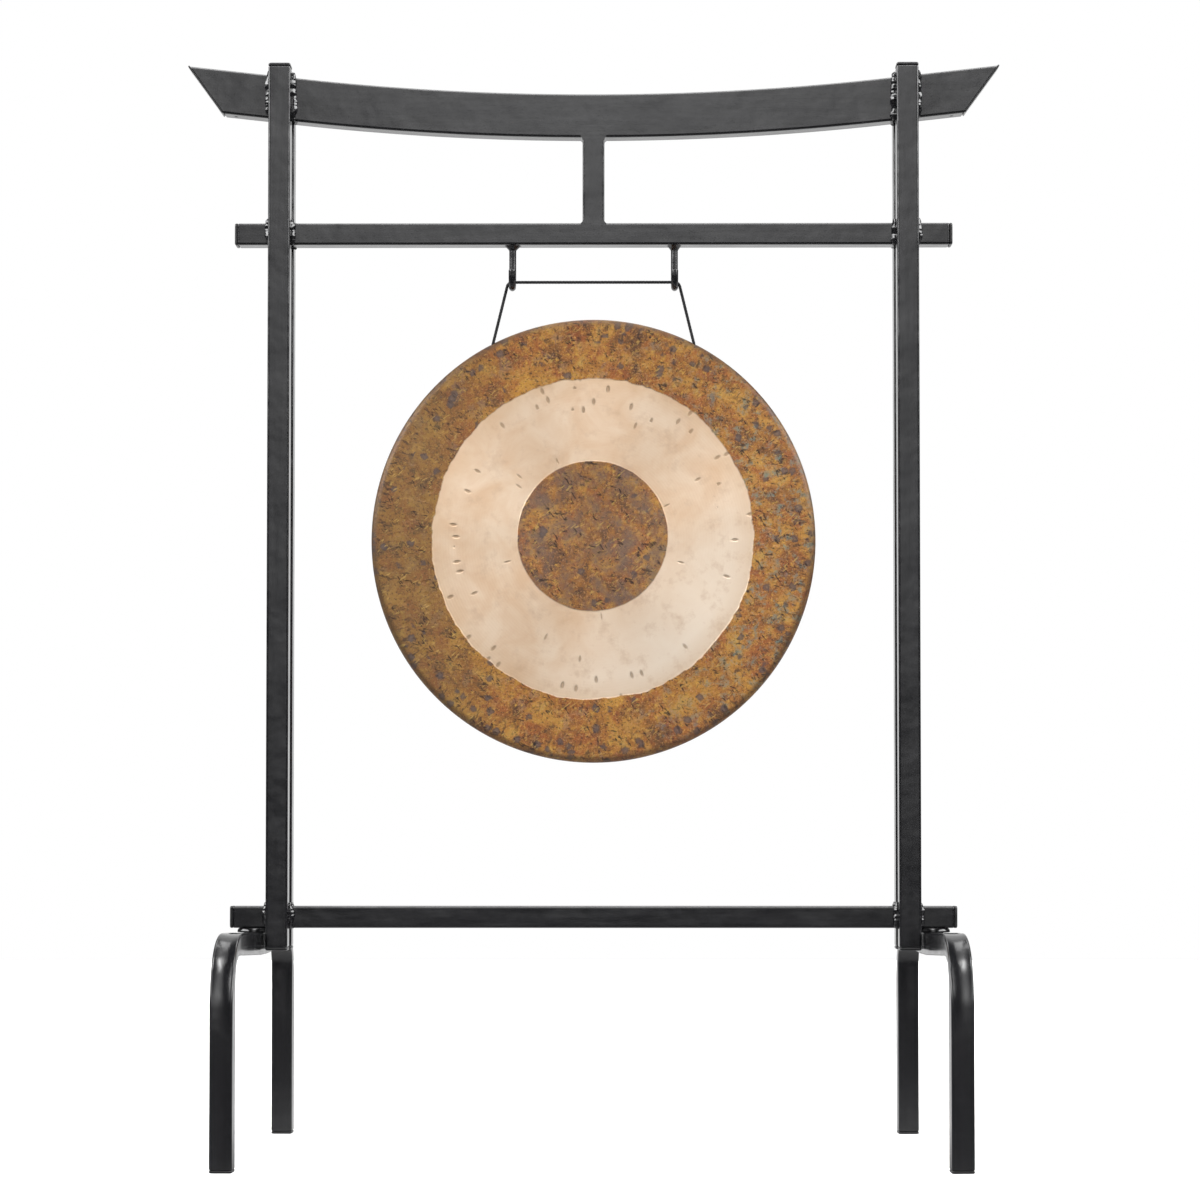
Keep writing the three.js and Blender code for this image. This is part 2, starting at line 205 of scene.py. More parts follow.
X = np.array([1.0, 0.0, 0.0])
Y = np.array([0.0, 1.0, 0.0])
Z = np.array([0.0, 0.0, 1.0])
SIDES = (("left", -1), ("right", 1))
ROWS = (("front", -1), ("rear", 1))


# Camera

def aim_camera():
    """The photograph's view: from the front, a little below the middle, looking slightly up."""
    camera = bpy.data.objects.new("camera", bpy.data.cameras.new("camera"))
    bpy.context.scene.collection.objects.link(camera)
    camera.data.sensor_fit = "HORIZONTAL"
    camera.data.sensor_width = 36
    camera.data.lens = CAMERA_LENS
    camera.data.shift_y = CAMERA_SHIFT
    camera.location = Vector(CAMERA_PLACE) * MM
    camera.rotation_euler = (math.radians(90 + CAMERA_PITCH), 0, math.radians(CAMERA_TURN))
    bpy.context.scene.camera = camera


aim_camera()


# Nodes

NOISE = "ShaderNodeTexNoise"
CELLS = "ShaderNodeTexVoronoi"
RANGE = "ShaderNodeMapRange"
RAMP = "ShaderNodeValToRGB"
MATH = "ShaderNodeMath"
MIX = "ShaderNodeMix"
BUMP = "ShaderNodeBump"
VECTOR = "ShaderNodeVectorMath"
MAPPING = "ShaderNodeMapping"
SPLIT = "ShaderNodeSeparateXYZ"
JOIN = "ShaderNodeCombineXYZ"

# Settings that many nodes share
TIMES = {"operation": "MULTIPLY"}
PLUS = {"operation": "ADD"}
MINUS = {"operation": "SUBTRACT"}
COLOUR = {"data_type": "RGBA"}


def feed(tree, socket, value):
    """Links an output to a socket, or sets the socket's own value."""
    if isinstance(value, bpy.types.NodeSocket):
        tree.links.new(value, socket)
    else:
        socket.default_value = value


def add(tree, kind, *sockets, out=0, stops=(), **settings):
    """Adds one node and gives back an output.

    Its sockets are given in order, or by name with _ for a space, and a ramp's stops as places
    with their colours.
    """
    made = tree.nodes.new(kind)
    named = {}
    for key, value in settings.items():
        if hasattr(made, key):
            setattr(made, key, value)
        else:
            named[key.replace("_", " ")] = value
    for socket, value in zip([socket for socket in made.inputs if socket.enabled], sockets):
        feed(tree, socket, value)
    for key, value in named.items():
        feed(tree, made.inputs[key], value)
    if stops:
        while len(made.color_ramp.elements) < len(stops):
            made.color_ramp.elements.new(0.5)
        for stop, (place, colour) in zip(made.color_ramp.elements, stops):
            stop.position = place
            stop.color = colour
    results = [socket for socket in made.outputs if socket.enabled]
    return results[out] if results else None


# Materials

def linear(code):
    """A colour written as sRGB hex, turned to the linear values that shaders work in."""
    shares = [int(code[at:at + 2], 16) / 255 for at in (1, 3, 5)]
    values = [c / 12.92 if c <= 0.04045 else ((c + 0.055) / 1.055) ** 2.4 for c in shares]
    return (*values, 1.0)


def per_metre(millimetres):
    """The texture scale at which one feature of a pattern is this long."""
    return 1 / (millimetres * MM)


def shader(name):
    """An empty material: its tree, a function that links the finish, and object coordinates."""
    made = bpy.data.materials.new(name)
    made.use_nodes = True
    tree = made.node_tree
    surface = tree.nodes["Principled BSDF"]

    def finish(**looks):
        for key, value in looks.items():
            feed(tree, surface.inputs[key.replace("_", " ")], value)
        return made

    return tree, finish, add(tree, "ShaderNodeTexCoord", out=3)


def powder_coated_steel(name, run, gloss=0.15, peel=0.01):
    """Satin black powder coat on steel tube: a soft mirror over orange peel and long waves."""
    tree, finish, place = shader(name)
    drawn = add(tree, MAPPING, place, Scale=run)
    waves = add(tree, NOISE, place, per_metre(70), 3)
    streaks = add(tree, NOISE, drawn, per_metre(11), 4, 0.5)
    fine = add(tree, NOISE, place, per_metre(3), 2)
    dust = add(tree, RANGE, add(tree, NOISE, place, per_metre(1.5), 2, 0.4), 0.66, 0.72)
    relief = add(tree, BUMP, Height=fine, Distance=peel * MM)
    relief = add(tree, BUMP, Height=streaks, Distance=0.16 * MM, Normal=relief)
    relief = add(tree, BUMP, Height=dust, Distance=0.03 * MM, Normal=relief)
    relief = add(tree, BUMP, Height=waves, Distance=1.6 * MM, Normal=relief)
    tone = add(tree, RANGE, streaks, 0.35, 0.7)
    return finish(
        Base_Color=add(tree, MIX, tone, linear("#0d0d0f"), linear("#141416"), **COLOUR),
        Roughness=add(tree, RANGE, waves, 0.3, 0.7, gloss, gloss + 0.05),
        IOR=1.6,
        Normal=relief,
    )


def moulded_polyethylene(name):
    """Moulded black polyethylene: dull, with a fine spark-eroded grain from its mould."""
    tree, finish, place = shader(name)
    grain = add(tree, NOISE, place, per_metre(0.8), 2)
    scuff = add(tree, NOISE, place, per_metre(9), 5)
    rubbed = add(tree, RANGE, scuff, 0.45, 0.75)
    return finish(
        Base_Color=add(tree, MIX, rubbed, linear("#141415"), linear("#232325"), **COLOUR),
        Roughness=add(tree, RANGE, scuff, 0.3, 0.7, 0.28, 0.36),
        Normal=add(tree, BUMP, Height=grain, Distance=0.02 * MM),
    )


def polished_abs(name):
    """Polished black ABS: nearly a mirror, so each lamp shows as a clear glint."""
    tree, finish, place = shader(name)
    wipe = add(tree, NOISE, place, per_metre(7), 4)
    return finish(
        Base_Color=add(tree, MIX, wipe, linear("#0c0c0d"), linear("#131314"), **COLOUR),
        Roughness=add(tree, RANGE, wipe, 0.4, 0.8, 0.08, 0.16),
    )


def black_oxide_steel(name):
    """Blackened screw steel: dark metal with an oily sheen and turning marks."""
    tree, finish, place = shader(name)
    stain = add(tree, NOISE, place, per_metre(4), 4)
    turning = add(tree, NOISE, place, per_metre(0.6), 2)
    return finish(
        Base_Color=add(tree, MIX, stain, linear("#2b2b2d"), linear("#454547"), **COLOUR),
        Metallic=1.0,
        Roughness=add(tree, RANGE, stain, 0.3, 0.7, 0.3, 0.45),
        Normal=add(tree, BUMP, Height=turning, Distance=0.02 * MM),
    )


def twisted_polyester(name):
    """Twisted polyester cord: dark, with the dull shine of fine filaments along each strand."""
    tree, finish, place = shader(name)
    # The filaments are far finer, but drawn 0.5 mm apart they still show.
    fibre = add(tree, NOISE, place, per_metre(0.5), 3)
    worn = add(tree, RANGE, fibre, 0.35, 0.7)
    return finish(
        Base_Color=add(tree, MIX, worn, linear("#09090a"), linear("#1a1a1d"), **COLOUR),
        Roughness=0.75,
        Specular_IOR_Level=0.3,
        Sheen_Weight=0.05,
        Normal=add(tree, BUMP, Height=fibre, Distance=0.12 * MM),
    )


def hammered_bronze(name):
    """Hammered bronze with a fired patina, turned bright between hub and rim."""
    tree, finish, place = shader(name)

    # Coordinates on the gong's face: right, up and towards the front, from its middle
    middle = (-GONG_PLACE[0] * MM, -GONG_PLACE[2] * MM, GONG_PLACE[1] * MM)
    face = add(tree, MAPPING, place, middle, (-math.pi / 2, 0, 0))
    flat = add(tree, VECTOR, face, (1, 1, 0), **TIMES)
    right = add(tree, SPLIT, face)
    up = right.node.outputs["Y"]
    from_middle = add(tree, VECTOR, flat, operation="LENGTH")
    turned = add(tree, MATH, right, up, operation="ARCTAN2")

    # The lathe cut follows the hammered surface, so its edges waver by a millimetre or two.
    ripple = add(tree, RANGE, add(tree, NOISE, face, per_metre(14), 4), 0.0, 1.0, -3 * MM, 3 * MM)
    drift = add(tree, RANGE, add(tree, NOISE, face, per_metre(90), 1), 0.0, 1.0, -4 * MM, 4 * MM)
    waver = add(tree, MATH, ripple, drift, **PLUS)
    reach = []
    for offset, share in ((HUB_OFFSET, 0.25), (RING_OFFSET, 1.0)):
        away = add(tree, VECTOR, flat, (offset[0] * MM, offset[1] * MM, 0), **MINUS)
        radius = add(tree, VECTOR, away, operation="LENGTH")
        reach.append(add(tree, MATH, waver, share, radius, operation="MULTIPLY_ADD"))
    edge = 0.7
    off_hub = add(tree, RANGE, reach[0], (HUB_RADIUS - edge) * MM, (HUB_RADIUS + edge) * MM)
    in_ring = add(tree, RANGE, reach[1], (RING_RADIUS + edge) * MM, (RING_RADIUS - edge) * MM)
    bright = add(tree, MATH, off_hub, in_ring, **TIMES)
    dull = add(tree, MATH, 1.0, bright, **MINUS)

    # Patina: olive, ochre, brown and rust clouds
    clouds = add(tree, NOISE, face, per_metre(30), 9, 0.72, Distortion=0.5)
    tones = (
        (0.30, "#3e2e26"), (0.40, "#684527"), (0.49, "#8c5c29"), (0.58, "#a17635"),
        (0.70, "#99824c"),
    )
    patina = add(tree, RAMP, clouds, stops=[(at, linear(code)) for at, code in tones])
    layers = (
        # Each layer: feature in millimetres, detail, where it starts and is full, share, colour
        (34, 8, 0.48, 0.60, 0.72, "#854a27"),
        (24, 8, 0.53, 0.62, 0.6, "#66544f"),
        (48, 8, 0.52, 0.64, 0.7, "#b08030"),
        (14, 8, 0.45, 0.34, 0.8, "#352823"),
        (5, 6, 0.54, 0.68, 0.75, "#bb9240"),
        (3, 4, 0.46, 0.36, 0.75, "#312520"),
        (2, 3, 0.54, 0.64, 0.65, "#ab7c52"),
    )
    for size, detail, low, high, share, code in layers:
        cover = add(tree, NOISE, face, per_metre(size), detail, 0.7)
        cover = add(tree, RANGE, cover, low, high, 0.0, share, interpolation_type="SMOOTHSTEP")
        patina = add(tree, MIX, cover, patina, linear(code), **COLOUR)

    # It darkens to the left
    shade = add(tree, RANGE, right, -90 * MM, -190 * MM, 0.0, 0.5)
    patina = add(tree, MIX, shade, patina, linear("#54452c"), **COLOUR)

    # The hub is darker, with large brown and purple-grey clouds
    on_hub = add(tree, MATH, 1.0, off_hub, **MINUS)
    cover = add(tree, NOISE, face, per_metre(26), 8, 0.66)
    cover = add(tree, RANGE, cover, 0.42, 0.6, 0.08, 0.75)
    cover = add(tree, MATH, cover, on_hub, **TIMES)
    patina = add(tree, MIX, cover, patina, linear("#5a4a44"), **COLOUR)

    # Verdigris, on the right
    green = add(tree, NOISE, face, per_metre(12), 8, 0.78)
    green = add(tree, RANGE, green, 0.52, 0.62, 0.0, 0.75)
    green = add(tree, MATH, green, add(tree, RANGE, right, 20 * MM, 190 * MM), **TIMES)
    patina = add(tree, MIX, green, patina, linear("#566e68"), **COLOUR)

    # Hammer marks: purple-grey spots of uneven outline, close together along the rim
    mottle = add(tree, NOISE, face, per_metre(5), 8, 0.75)
    rough_edge = add(tree, NOISE, face, per_metre(6), 4, 0.7)
    rough_edge = add(tree, RANGE, rough_edge, 0.0, 1.0, -0.3, 0.3)
    marks = add(tree, CELLS, face, per_metre(15), 0)
    chance = add(tree, "ShaderNodeSeparateColor", marks.node.outputs["Color"])
    crowd = add(tree, RANGE, from_middle, 224 * MM, 234 * MM, 0.2, 0.95)
    chosen = add(tree, MATH, chance, crowd, operation="LESS_THAN")
    marks = add(tree, MATH, marks, rough_edge, **PLUS)
    spot = add(tree, RANGE, marks, 0.36, 0.24, 0.0, 0.75)
    spot = add(tree, MATH, spot, chosen, **TIMES)
    tone = add(tree, RANGE, marks, -0.05, 0.3)
    tone = add(tree, MIX, tone, linear("#5f5552"), linear("#383237"), **COLOUR)
    patina = add(tree, MIX, spot, patina, tone, **COLOUR)

    # Short dark strokes of the hammer's edge across the outer rim, 5 mm apart and 14 mm long
    stroke_radius, stroke_pitch, stroke_length = 240, 5, 14
    around = add(tree, MATH, turned, stroke_radius / stroke_pitch, **TIMES)
    outwards = add(tree, MATH, from_middle, per_metre(stroke_length), **TIMES)
    polar = add(tree, JOIN, around, outwards, 0.0)
    strokes = add(tree, NOISE, polar, 1.0, 4, 0.6, noise_dimensions="2D")
    strokes = add(tree, RANGE, strokes, 0.57, 0.68, 0.0, 0.7)
    for none, full in ((218, 234), (250, 245)):
        on_rim = add(tree, RANGE, from_middle, none * MM, full * MM)
        strokes = add(tree, MATH, strokes, on_rim, **TIMES)
    patina = add(tree, MIX, strokes, patina, linear("#2e2321"), **COLOUR)

    # Scratches from hammering and handling, in three directions. Real ones are a few tenths of a
    # millimetre wide, and drawn 1 mm wide they still show.
    scratches = ((35, 2.6, 0.85, "#231a18"), (-52, 2.3, 0.7, "#a48547"), (80, 2.8, 0.8, "#251d19"))
    for angle, width, share, code in scratches:
        lay = add(tree, MAPPING, face, (0, 0, 0), (0, 0, math.radians(angle)), (1, 4, 1),
                  vector_type="TEXTURE")
        lines = add(tree, RANGE, add(tree, NOISE, lay, per_metre(width), 1), 0.6, 0.68, 0.0, share)
        patch = add(tree, RANGE, add(tree, NOISE, face, per_metre(16 + width), 3), 0.5, 0.58)
        scratch = add(tree, MATH, lines, patch, **TIMES)
        patina = add(tree, MIX, scratch, patina, linear(code), **COLOUR)

    # The shoulder is darker
    shoulder = add(tree, RANGE, from_middle, 245 * MM, 250 * MM, 0.0, 0.6)
    patina = add(tree, MIX, shoulder, patina, linear("#45352a"), **COLOUR)

    # Turned ring: rose-gold and clouded, paler at its lower right and deeper towards the rim
    veil = add(tree, NOISE, face, per_metre(46), 5, 0.6, Distortion=0.6)
    veil = add(tree, RANGE, veil, 0.35, 0.65)
    ring = add(tree, MIX, veil, linear("#e5c4a3"), linear("#f0d8be"), **COLOUR)
    slanting = add(tree, MATH, right, up, **MINUS)
    paler = add(tree, RANGE, slanting, 60 * MM, 220 * MM, 0.0, 0.85)
    ring = add(tree, MIX, paler, ring, linear("#fbebd8"), **COLOUR)
    smear = add(tree, RANGE, add(tree, NOISE, face, per_metre(26), 6, 0.7), 0.52, 0.7, 0.0, 0.55)
    ring = add(tree, MIX, smear, ring, linear("#d3b294"), **COLOUR)
    rimwards = add(tree, RANGE, reach[1], 160 * MM, RING_RADIUS * MM, 0.0, 0.4)
    ring = add(tree, MIX, rimwards, ring, linear("#dcba95"), **COLOUR)

    # Peening marks left in the ring: narrow and radial, most of them near its outer edge
    peen_radius, peen_pitch, peen_length = 150, 13, 30
    around = add(tree, MATH, turned, peen_radius / peen_pitch, **TIMES)
    outwards = add(tree, MATH, from_middle, per_metre(peen_length), **TIMES)
    polar = add(tree, JOIN, around, outwards, 0.0)
    peened = add(tree, CELLS, polar, 1.0, 0, voronoi_dimensions="2D")
    chance = add(tree, "ShaderNodeSeparateColor", peened.node.outputs["Color"])
    crowd = add(tree, RANGE, from_middle, 145 * MM, 176 * MM, 0.1, 0.6)
    chosen = add(tree, MATH, chance, crowd, operation="LESS_THAN")
    peened = add(tree, RANGE, peened, 0.17, 0.08)
    peened = add(tree, MATH, peened, chosen, **TIMES)
    worn = add(tree, MATH, peened, 0.6, **TIMES)
    ring = add(tree, MIX, worn, ring, linear("#94765a"), **COLOUR)

    # Relief: pitted oxide, and a ring that the cut left lower, with fine concentric lines
    turning = add(
        tree, "ShaderNodeTexWave", flat, per_metre(3.2) * WAVE_SCALE, 1.2, 2.0, 0.8,
        out=1, wave_type="RINGS", rings_direction="SPHERICAL",
    )
    cut = add(tree, MATH, turning, bright, **TIMES)
    pits = add(tree, MATH, mottle, dull, **TIMES)
    pressed = add(tree, MATH, peened, -1.0, **TIMES)
    relief = add(tree, BUMP, Height=cut, Distance=0.02 * MM)
    relief = add(tree, BUMP, Height=pressed, Distance=0.25 * MM, Normal=relief)
    relief = add(tree, BUMP, Height=pits, Distance=0.4 * MM, Normal=relief)
    relief = add(tree, BUMP, Height=dull, Distance=0.12 * MM, Normal=relief)

    gloss = add(tree, RANGE, bright, 0.0, 1.0, 0.46, 0.42)
    uneven = add(tree, RANGE, mottle, 0.3, 0.7, -0.06, 0.06)
    return finish(
        Base_Color=add(tree, MIX, bright, patina, ring, **COLOUR),
        Metallic=add(tree, RANGE, bright, 0.0, 1.0, 0.45, 0.9),
        Roughness=add(tree, MATH, gloss, uneven, **PLUS),
        Anisotropic=0.6,
        Anisotropic_Rotation=0.25,
        Tangent=add(tree, "ShaderNodeTangent", direction_type="RADIAL", axis="Y"),
        Normal=relief,
    )


COAT = powder_coated_steel("powder_coated_steel_level", (0.08, 1, 1))
UPRIGHT_COAT = powder_coated_steel("powder_coated_steel_upright", (1, 1, 0.08))
WELD_COAT = powder_coated_steel("powder_coated_weld", (1, 1, 1), 0.1, 0.04)
CAP_PLASTIC = moulded_polyethylene("moulded_polyethylene")
SPACER_PLASTIC = polished_abs("polished_abs")
SCREW_STEEL = black_oxide_steel("black_oxide_steel")
BRONZE = hammered_bronze("hammered_bronze")
CORD_FIBRE = twisted_polyester("twisted_polyester")


# Mesh making

def piece(name, points, faces, material, sharp=40):
    """One closed mesh from points in millimetres, with its faces pointing outwards."""
    mesh = bpy.data.meshes.new(name)
    mesh.from_pydata((np.asarray(points, float) * MM).tolist(), [], faces)
    tidy(mesh, sharp)
    mesh.materials.append(material)
    made = bpy.data.objects.new(name, mesh)
    bpy.context.scene.collection.objects.link(made)
    return made


def tidy(mesh, sharp=40):
    """Merges doubles, turns every face outwards and smooths all but the sharp edges."""
    work = bmesh.new()
    work.from_mesh(mesh)
    bmesh.ops.remove_doubles(work, verts=work.verts, dist=0.001 * MM)
    bmesh.ops.recalc_face_normals(work, faces=work.faces)
    # Should that leave a long hollow tube inside out, its volume's sign tells.
    if work.calc_volume(signed=True) < 0:
        bmesh.ops.reverse_faces(work, faces=work.faces)
    work.to_mesh(mesh)
    work.free()
    mesh.shade_smooth()
    mesh.set_sharp_from_angle(angle=math.radians(sharp))


def settled(made):
    """The piece with its modifiers' result as its plain mesh."""
    graph = bpy.context.evaluated_depsgraph_get()
    mesh = bpy.data.meshes.new_from_object(made.evaluated_get(graph))
    made.modifiers.clear()
    old = made.data
    made.data = mesh
    mesh.name = made.name
    if isinstance(old, bpy.types.Mesh):
        bpy.data.meshes.remove(old)
    return made


def loft(name, rings, material, hollow=False, sharp=40):
    """A piece through rings of equal length: a hollow one runs back to its first ring."""
    rings = np.asarray(rings, float)
    rows, columns = rings.shape[:2]
    faces = []
    for row in range(rows if hollow else rows - 1):
        here, ahead = row * columns, (row + 1) % rows * columns
        for column in range(columns):
            beside = (column + 1) % columns
            faces.append((here + column, here + beside, ahead + beside, ahead + column))
    if not hollow:
        faces.append(tuple(range(columns)))
        faces.append(tuple(range((rows - 1) * columns, rows * columns)))
    return piece(name, rings.reshape(-1, 3), faces, material, sharp)


def turns(steps):
    """Angles at even steps round a circle."""
    return np.linspace(0, 2 * math.pi, steps, endpoint=False)


def circle(diameter, sides):
    """Outline points of a circle."""
    return diameter / 2 * np.stack([np.cos(turns(sides)), np.sin(turns(sides))], axis=1)


def rounded_rectangle(width, height, corner):
    """Outline points with round corners, each between two narrow strips of flat face."""
    points = []
    for quarter, (right, up) in enumerate(((1, -1), (1, 1), (-1, 1), (-1, -1))):
        centre = np.array([right * (width / 2 - corner), up * (height / 2 - corner)])
        start = (quarter - 1) * math.pi / 2
        angles = start + np.linspace(0, math.pi / 2, CORNER_STEPS + 1)
        arc = centre + corner * np.stack([np.cos(angles), np.sin(angles)], axis=1)
        before = np.array([-math.sin(start), math.cos(start)])
        after = np.array([-before[1], before[0]])
        points += [arc[0] - FACE_STRIP * before, *arc, arc[-1] + FACE_STRIP * after]
    return np.array(points)


def laid(outline, centre, across, upward):
    """An outline laid out in space around a point."""
    outline = np.asarray(outline, float)
    return np.asarray(centre, float) + outline[:, :1] * across + outline[:, 1:] * upward


def rounded_edge(rounding, steps=4, strip=0.5):
    """Places in from an end, each with how far the outline draws in there."""
    angles = np.linspace(0, math.pi / 2, steps + 1)
    edge = [(rounding * (1 - math.cos(a)), rounding * (1 - math.sin(a))) for a in angles]
    return edge + [(rounding + strip, 0.0)]


def rounded_run(length, *edge):
    """Places along a run with both its ends rounded, each with how far the outline draws in."""
    start = rounded_edge(*edge)
    return start + [(length - along, inset) for along, inset in reversed(start)]


def tube_outline(inset):
    """The tube's outline, drawn in where an end is rounded, but not past the rim of its bore."""
    drawn = min(inset, TUBE_WALL - TUBE_RIM)
    return rounded_rectangle(TUBE - 2 * drawn, TUBE - 2 * drawn, TUBE_CORNER - drawn)


def drill(made, holes):
    """Cuts round holes: each is a middle, an axis, a diameter and a length."""
    for number, (middle, axis, diameter, length) in enumerate(holes):
        axis = np.array(axis, float) / np.linalg.norm(axis)
        across = np.cross(axis, X if abs(axis[0]) < 0.9 else Y)
        across /= np.linalg.norm(across)
        upward = np.cross(axis, across)
        ends = [np.array(middle) + side * axis * length / 2 for side in (-1, 1)]
        rings = [laid(circle(diameter, 32), end, across, upward) for end in ends]
        cut = made.modifiers.new(f"drill_{number}", "BOOLEAN")
        cut.operation = "DIFFERENCE"
        cut.solver = "EXACT"
        cut.object = loft(cut.name, rings, COAT)
    settled(made)
    for number in range(len(holes)):
        bpy.data.objects.remove(bpy.data.objects[f"drill_{number}"])
    tidy(made.data)


def dress(made, body, slot, *nodes):
    """The piece rides on a body and stands for its CAD nodes, if any. Its slot, a finish's name, is
    not used.
    """
    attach(made, body)
    if nodes:
        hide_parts(*nodes)


def corners(node):
    """A CAD node's lowest and highest corners, in millimetres."""
    low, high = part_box(node)
    return np.array(low) / MM, np.array(high) / MM


# Posts and straight beams

def straight_tube(node, run, across, material, rounding=TUBE_END_ROUNDING, holes=()):
    """A hollow square tube along the whole of its CAD node, with its end edges rounded."""
    low, high = corners(node)
    start = np.where(run, low, (low + high) / 2)
    length = (high - low) @ run
    upward = np.cross(run, across)
    rings = []
    for along, inset in rounded_run(length, rounding):
        rings.append(laid(tube_outline(inset), start + along * run, across, upward))
    bore = rounded_rectangle(TUBE - 2 * TUBE_WALL, TUBE - 2 * TUBE_WALL, BORE_CORNER)
    rings += [laid(bore, start + along * run, across, upward) for along in (length, 0)]
    made = loft(f"{node}_tube", rings, material, hollow=True)
    if holes:
        drill(made, holes)
    dress(made, "stand", "black_paint", node)


for side, _ in SIDES:
    for row, _ in ROWS:
        straight_tube(f"{row}_post_{side}", Z, X, UPRIGHT_COAT)
straight_tube("centre_strut", Z, X, UPRIGHT_COAT, STRUT_END_ROUNDING)
straight_tube("middle_beam", X, Y, COAT)
bar_low = corners("bottom_bar")[0][2]
bolt_holes = [((sign * FOOT_LINE, 0, bar_low), Z, BOLT_HOLE, WALL_DRILL) for _, sign in SIDES]
straight_tube("bottom_bar", X, Y, COAT, holes=bolt_holes)


# Top beam, bowed up to its tips, and the plates that close it

def beam_rise(x):
    """Height of the beam's line above its middle, and its slope there."""
    reach = min(abs(x), BEAM_BOW_LENGTH / 2)
    depth = math.sqrt(BEAM_BOW_RADIUS ** 2 - reach ** 2)
    slope = reach / depth
    return BEAM_BOW_RADIUS - depth + slope * (abs(x) - reach), math.copysign(slope, x)


def beam_end():
    """The middle of the right slanted end, its height along the slant and its outward direction."""
    rise, slope = beam_rise(BEAM_LENGTH / 2)
    lean = math.atan(slope)
    slant = BEAM_HEIGHT / math.cos(BEAM_END_ANGLE + lean)
    tip = BEAM_LINE + rise + BEAM_HEIGHT / 2 / math.cos(lean)
    x = BEAM_LENGTH / 2 - slant / 2 * math.sin(BEAM_END_ANGLE)
    z = tip - slant / 2 * math.cos(BEAM_END_ANGLE)
    outward = np.array([math.cos(BEAM_END_ANGLE), 0, -math.sin(BEAM_END_ANGLE)])
    return np.array([x, 0, z]), slant, outward


END_MIDDLE, END_SLANT, END_OUTWARD = beam_end()


def top_beam():
    """The bowed tube, cut to a slant at its ends, with a vent underneath near each."""
    outer, inner = [], []
    shell = rounded_rectangle(TUBE, BEAM_HEIGHT, TUBE_CORNER)
    bore = rounded_rectangle(TUBE - 2 * TUBE_WALL, BEAM_HEIGHT - 2 * TUBE_WALL, BORE_CORNER)
    setback = PLATE_THICKNESS + PLATE_GAP
    reach = END_MIDDLE[0]
    underside = reach - END_SLANT / 2 * math.sin(BEAM_END_ANGLE)
    square = underside - BEAM_END_MARGIN
    for x in [-reach, *np.linspace(-square, square, BEAM_STATIONS + 1), reach]:
        rise, slope = beam_rise(x)
        forward = np.array([1, 0, slope]) / math.hypot(1, slope)
        upward = np.array([-forward[2], 0, forward[0]])
        centre = np.array([x, 0, BEAM_LINE + rise])
        for outline, rings in ((shell, outer), (bore, inner)):
            ring = laid(outline, centre, -Y, upward)
            if abs(x) > square:
                mirror = (math.copysign(1, x), 1, 1)
                outward = END_OUTWARD * mirror
                stop = END_MIDDLE * mirror - outward * setback
                ring += np.outer((stop - ring) @ outward / (forward @ outward), forward)
            rings.append(ring)
    made = loft("top_beam_tube", outer + inner[::-1], COAT, hollow=True)
    vent_x = underside - VENT_SETBACK
    vent_z = BEAM_LINE + beam_rise(vent_x)[0] - BEAM_HEIGHT / 2
    drill(made, [((sign * vent_x, 0, vent_z), Z, VENT_DIAMETER, WALL_DRILL) for _, sign in SIDES])
    dress(made, "stand", "black_paint", "top_beam")


def end_plate(side, sign):
    """The plate in a slanted end, with its edges rounded."""
    outward = END_OUTWARD * (sign, 1, 1)
    along = np.cross(outward, Y)
    middle = END_MIDDLE * (sign, 1, 1)
    rings = []
    for depth, inset in rounded_run(PLATE_THICKNESS, PLATE_ROUNDING, 3, 0.2):
        outline = rounded_rectangle(TUBE - 2 * inset, END_SLANT - 2 * inset, TUBE_CORNER)
        rings.append(laid(outline, middle - outward * (PLATE_THICKNESS - depth), Y, along))
    made = loft(f"top_beam_plate_{side}", rings, COAT)
    dress(made, "stand", "black_paint", f"top_beam_end_plate_{side}")


top_beam()
for side, sign in SIDES:
    end_plate(side, sign)


# Feet: one tube on each side, bent twice, its walls drawn in where it bends

def inside_squeeze(angle):
    """How far the inner wall stands out from an even bend, because its own corner is tighter."""
    even = ARCH_BEND - TUBE / 2
    spare = even - ARCH_INSIDE_RADIUS
    if min(math.tan(angle), 1 / max(math.tan(angle), 1e-6)) * even < spare:
        return even / max(math.cos(angle), math.sin(angle)) - even
    along = spare * (math.cos(angle) + math.sin(angle))
    return along + math.sqrt(along ** 2 - 2 * spare ** 2 + ARCH_INSIDE_RADIUS ** 2) - even


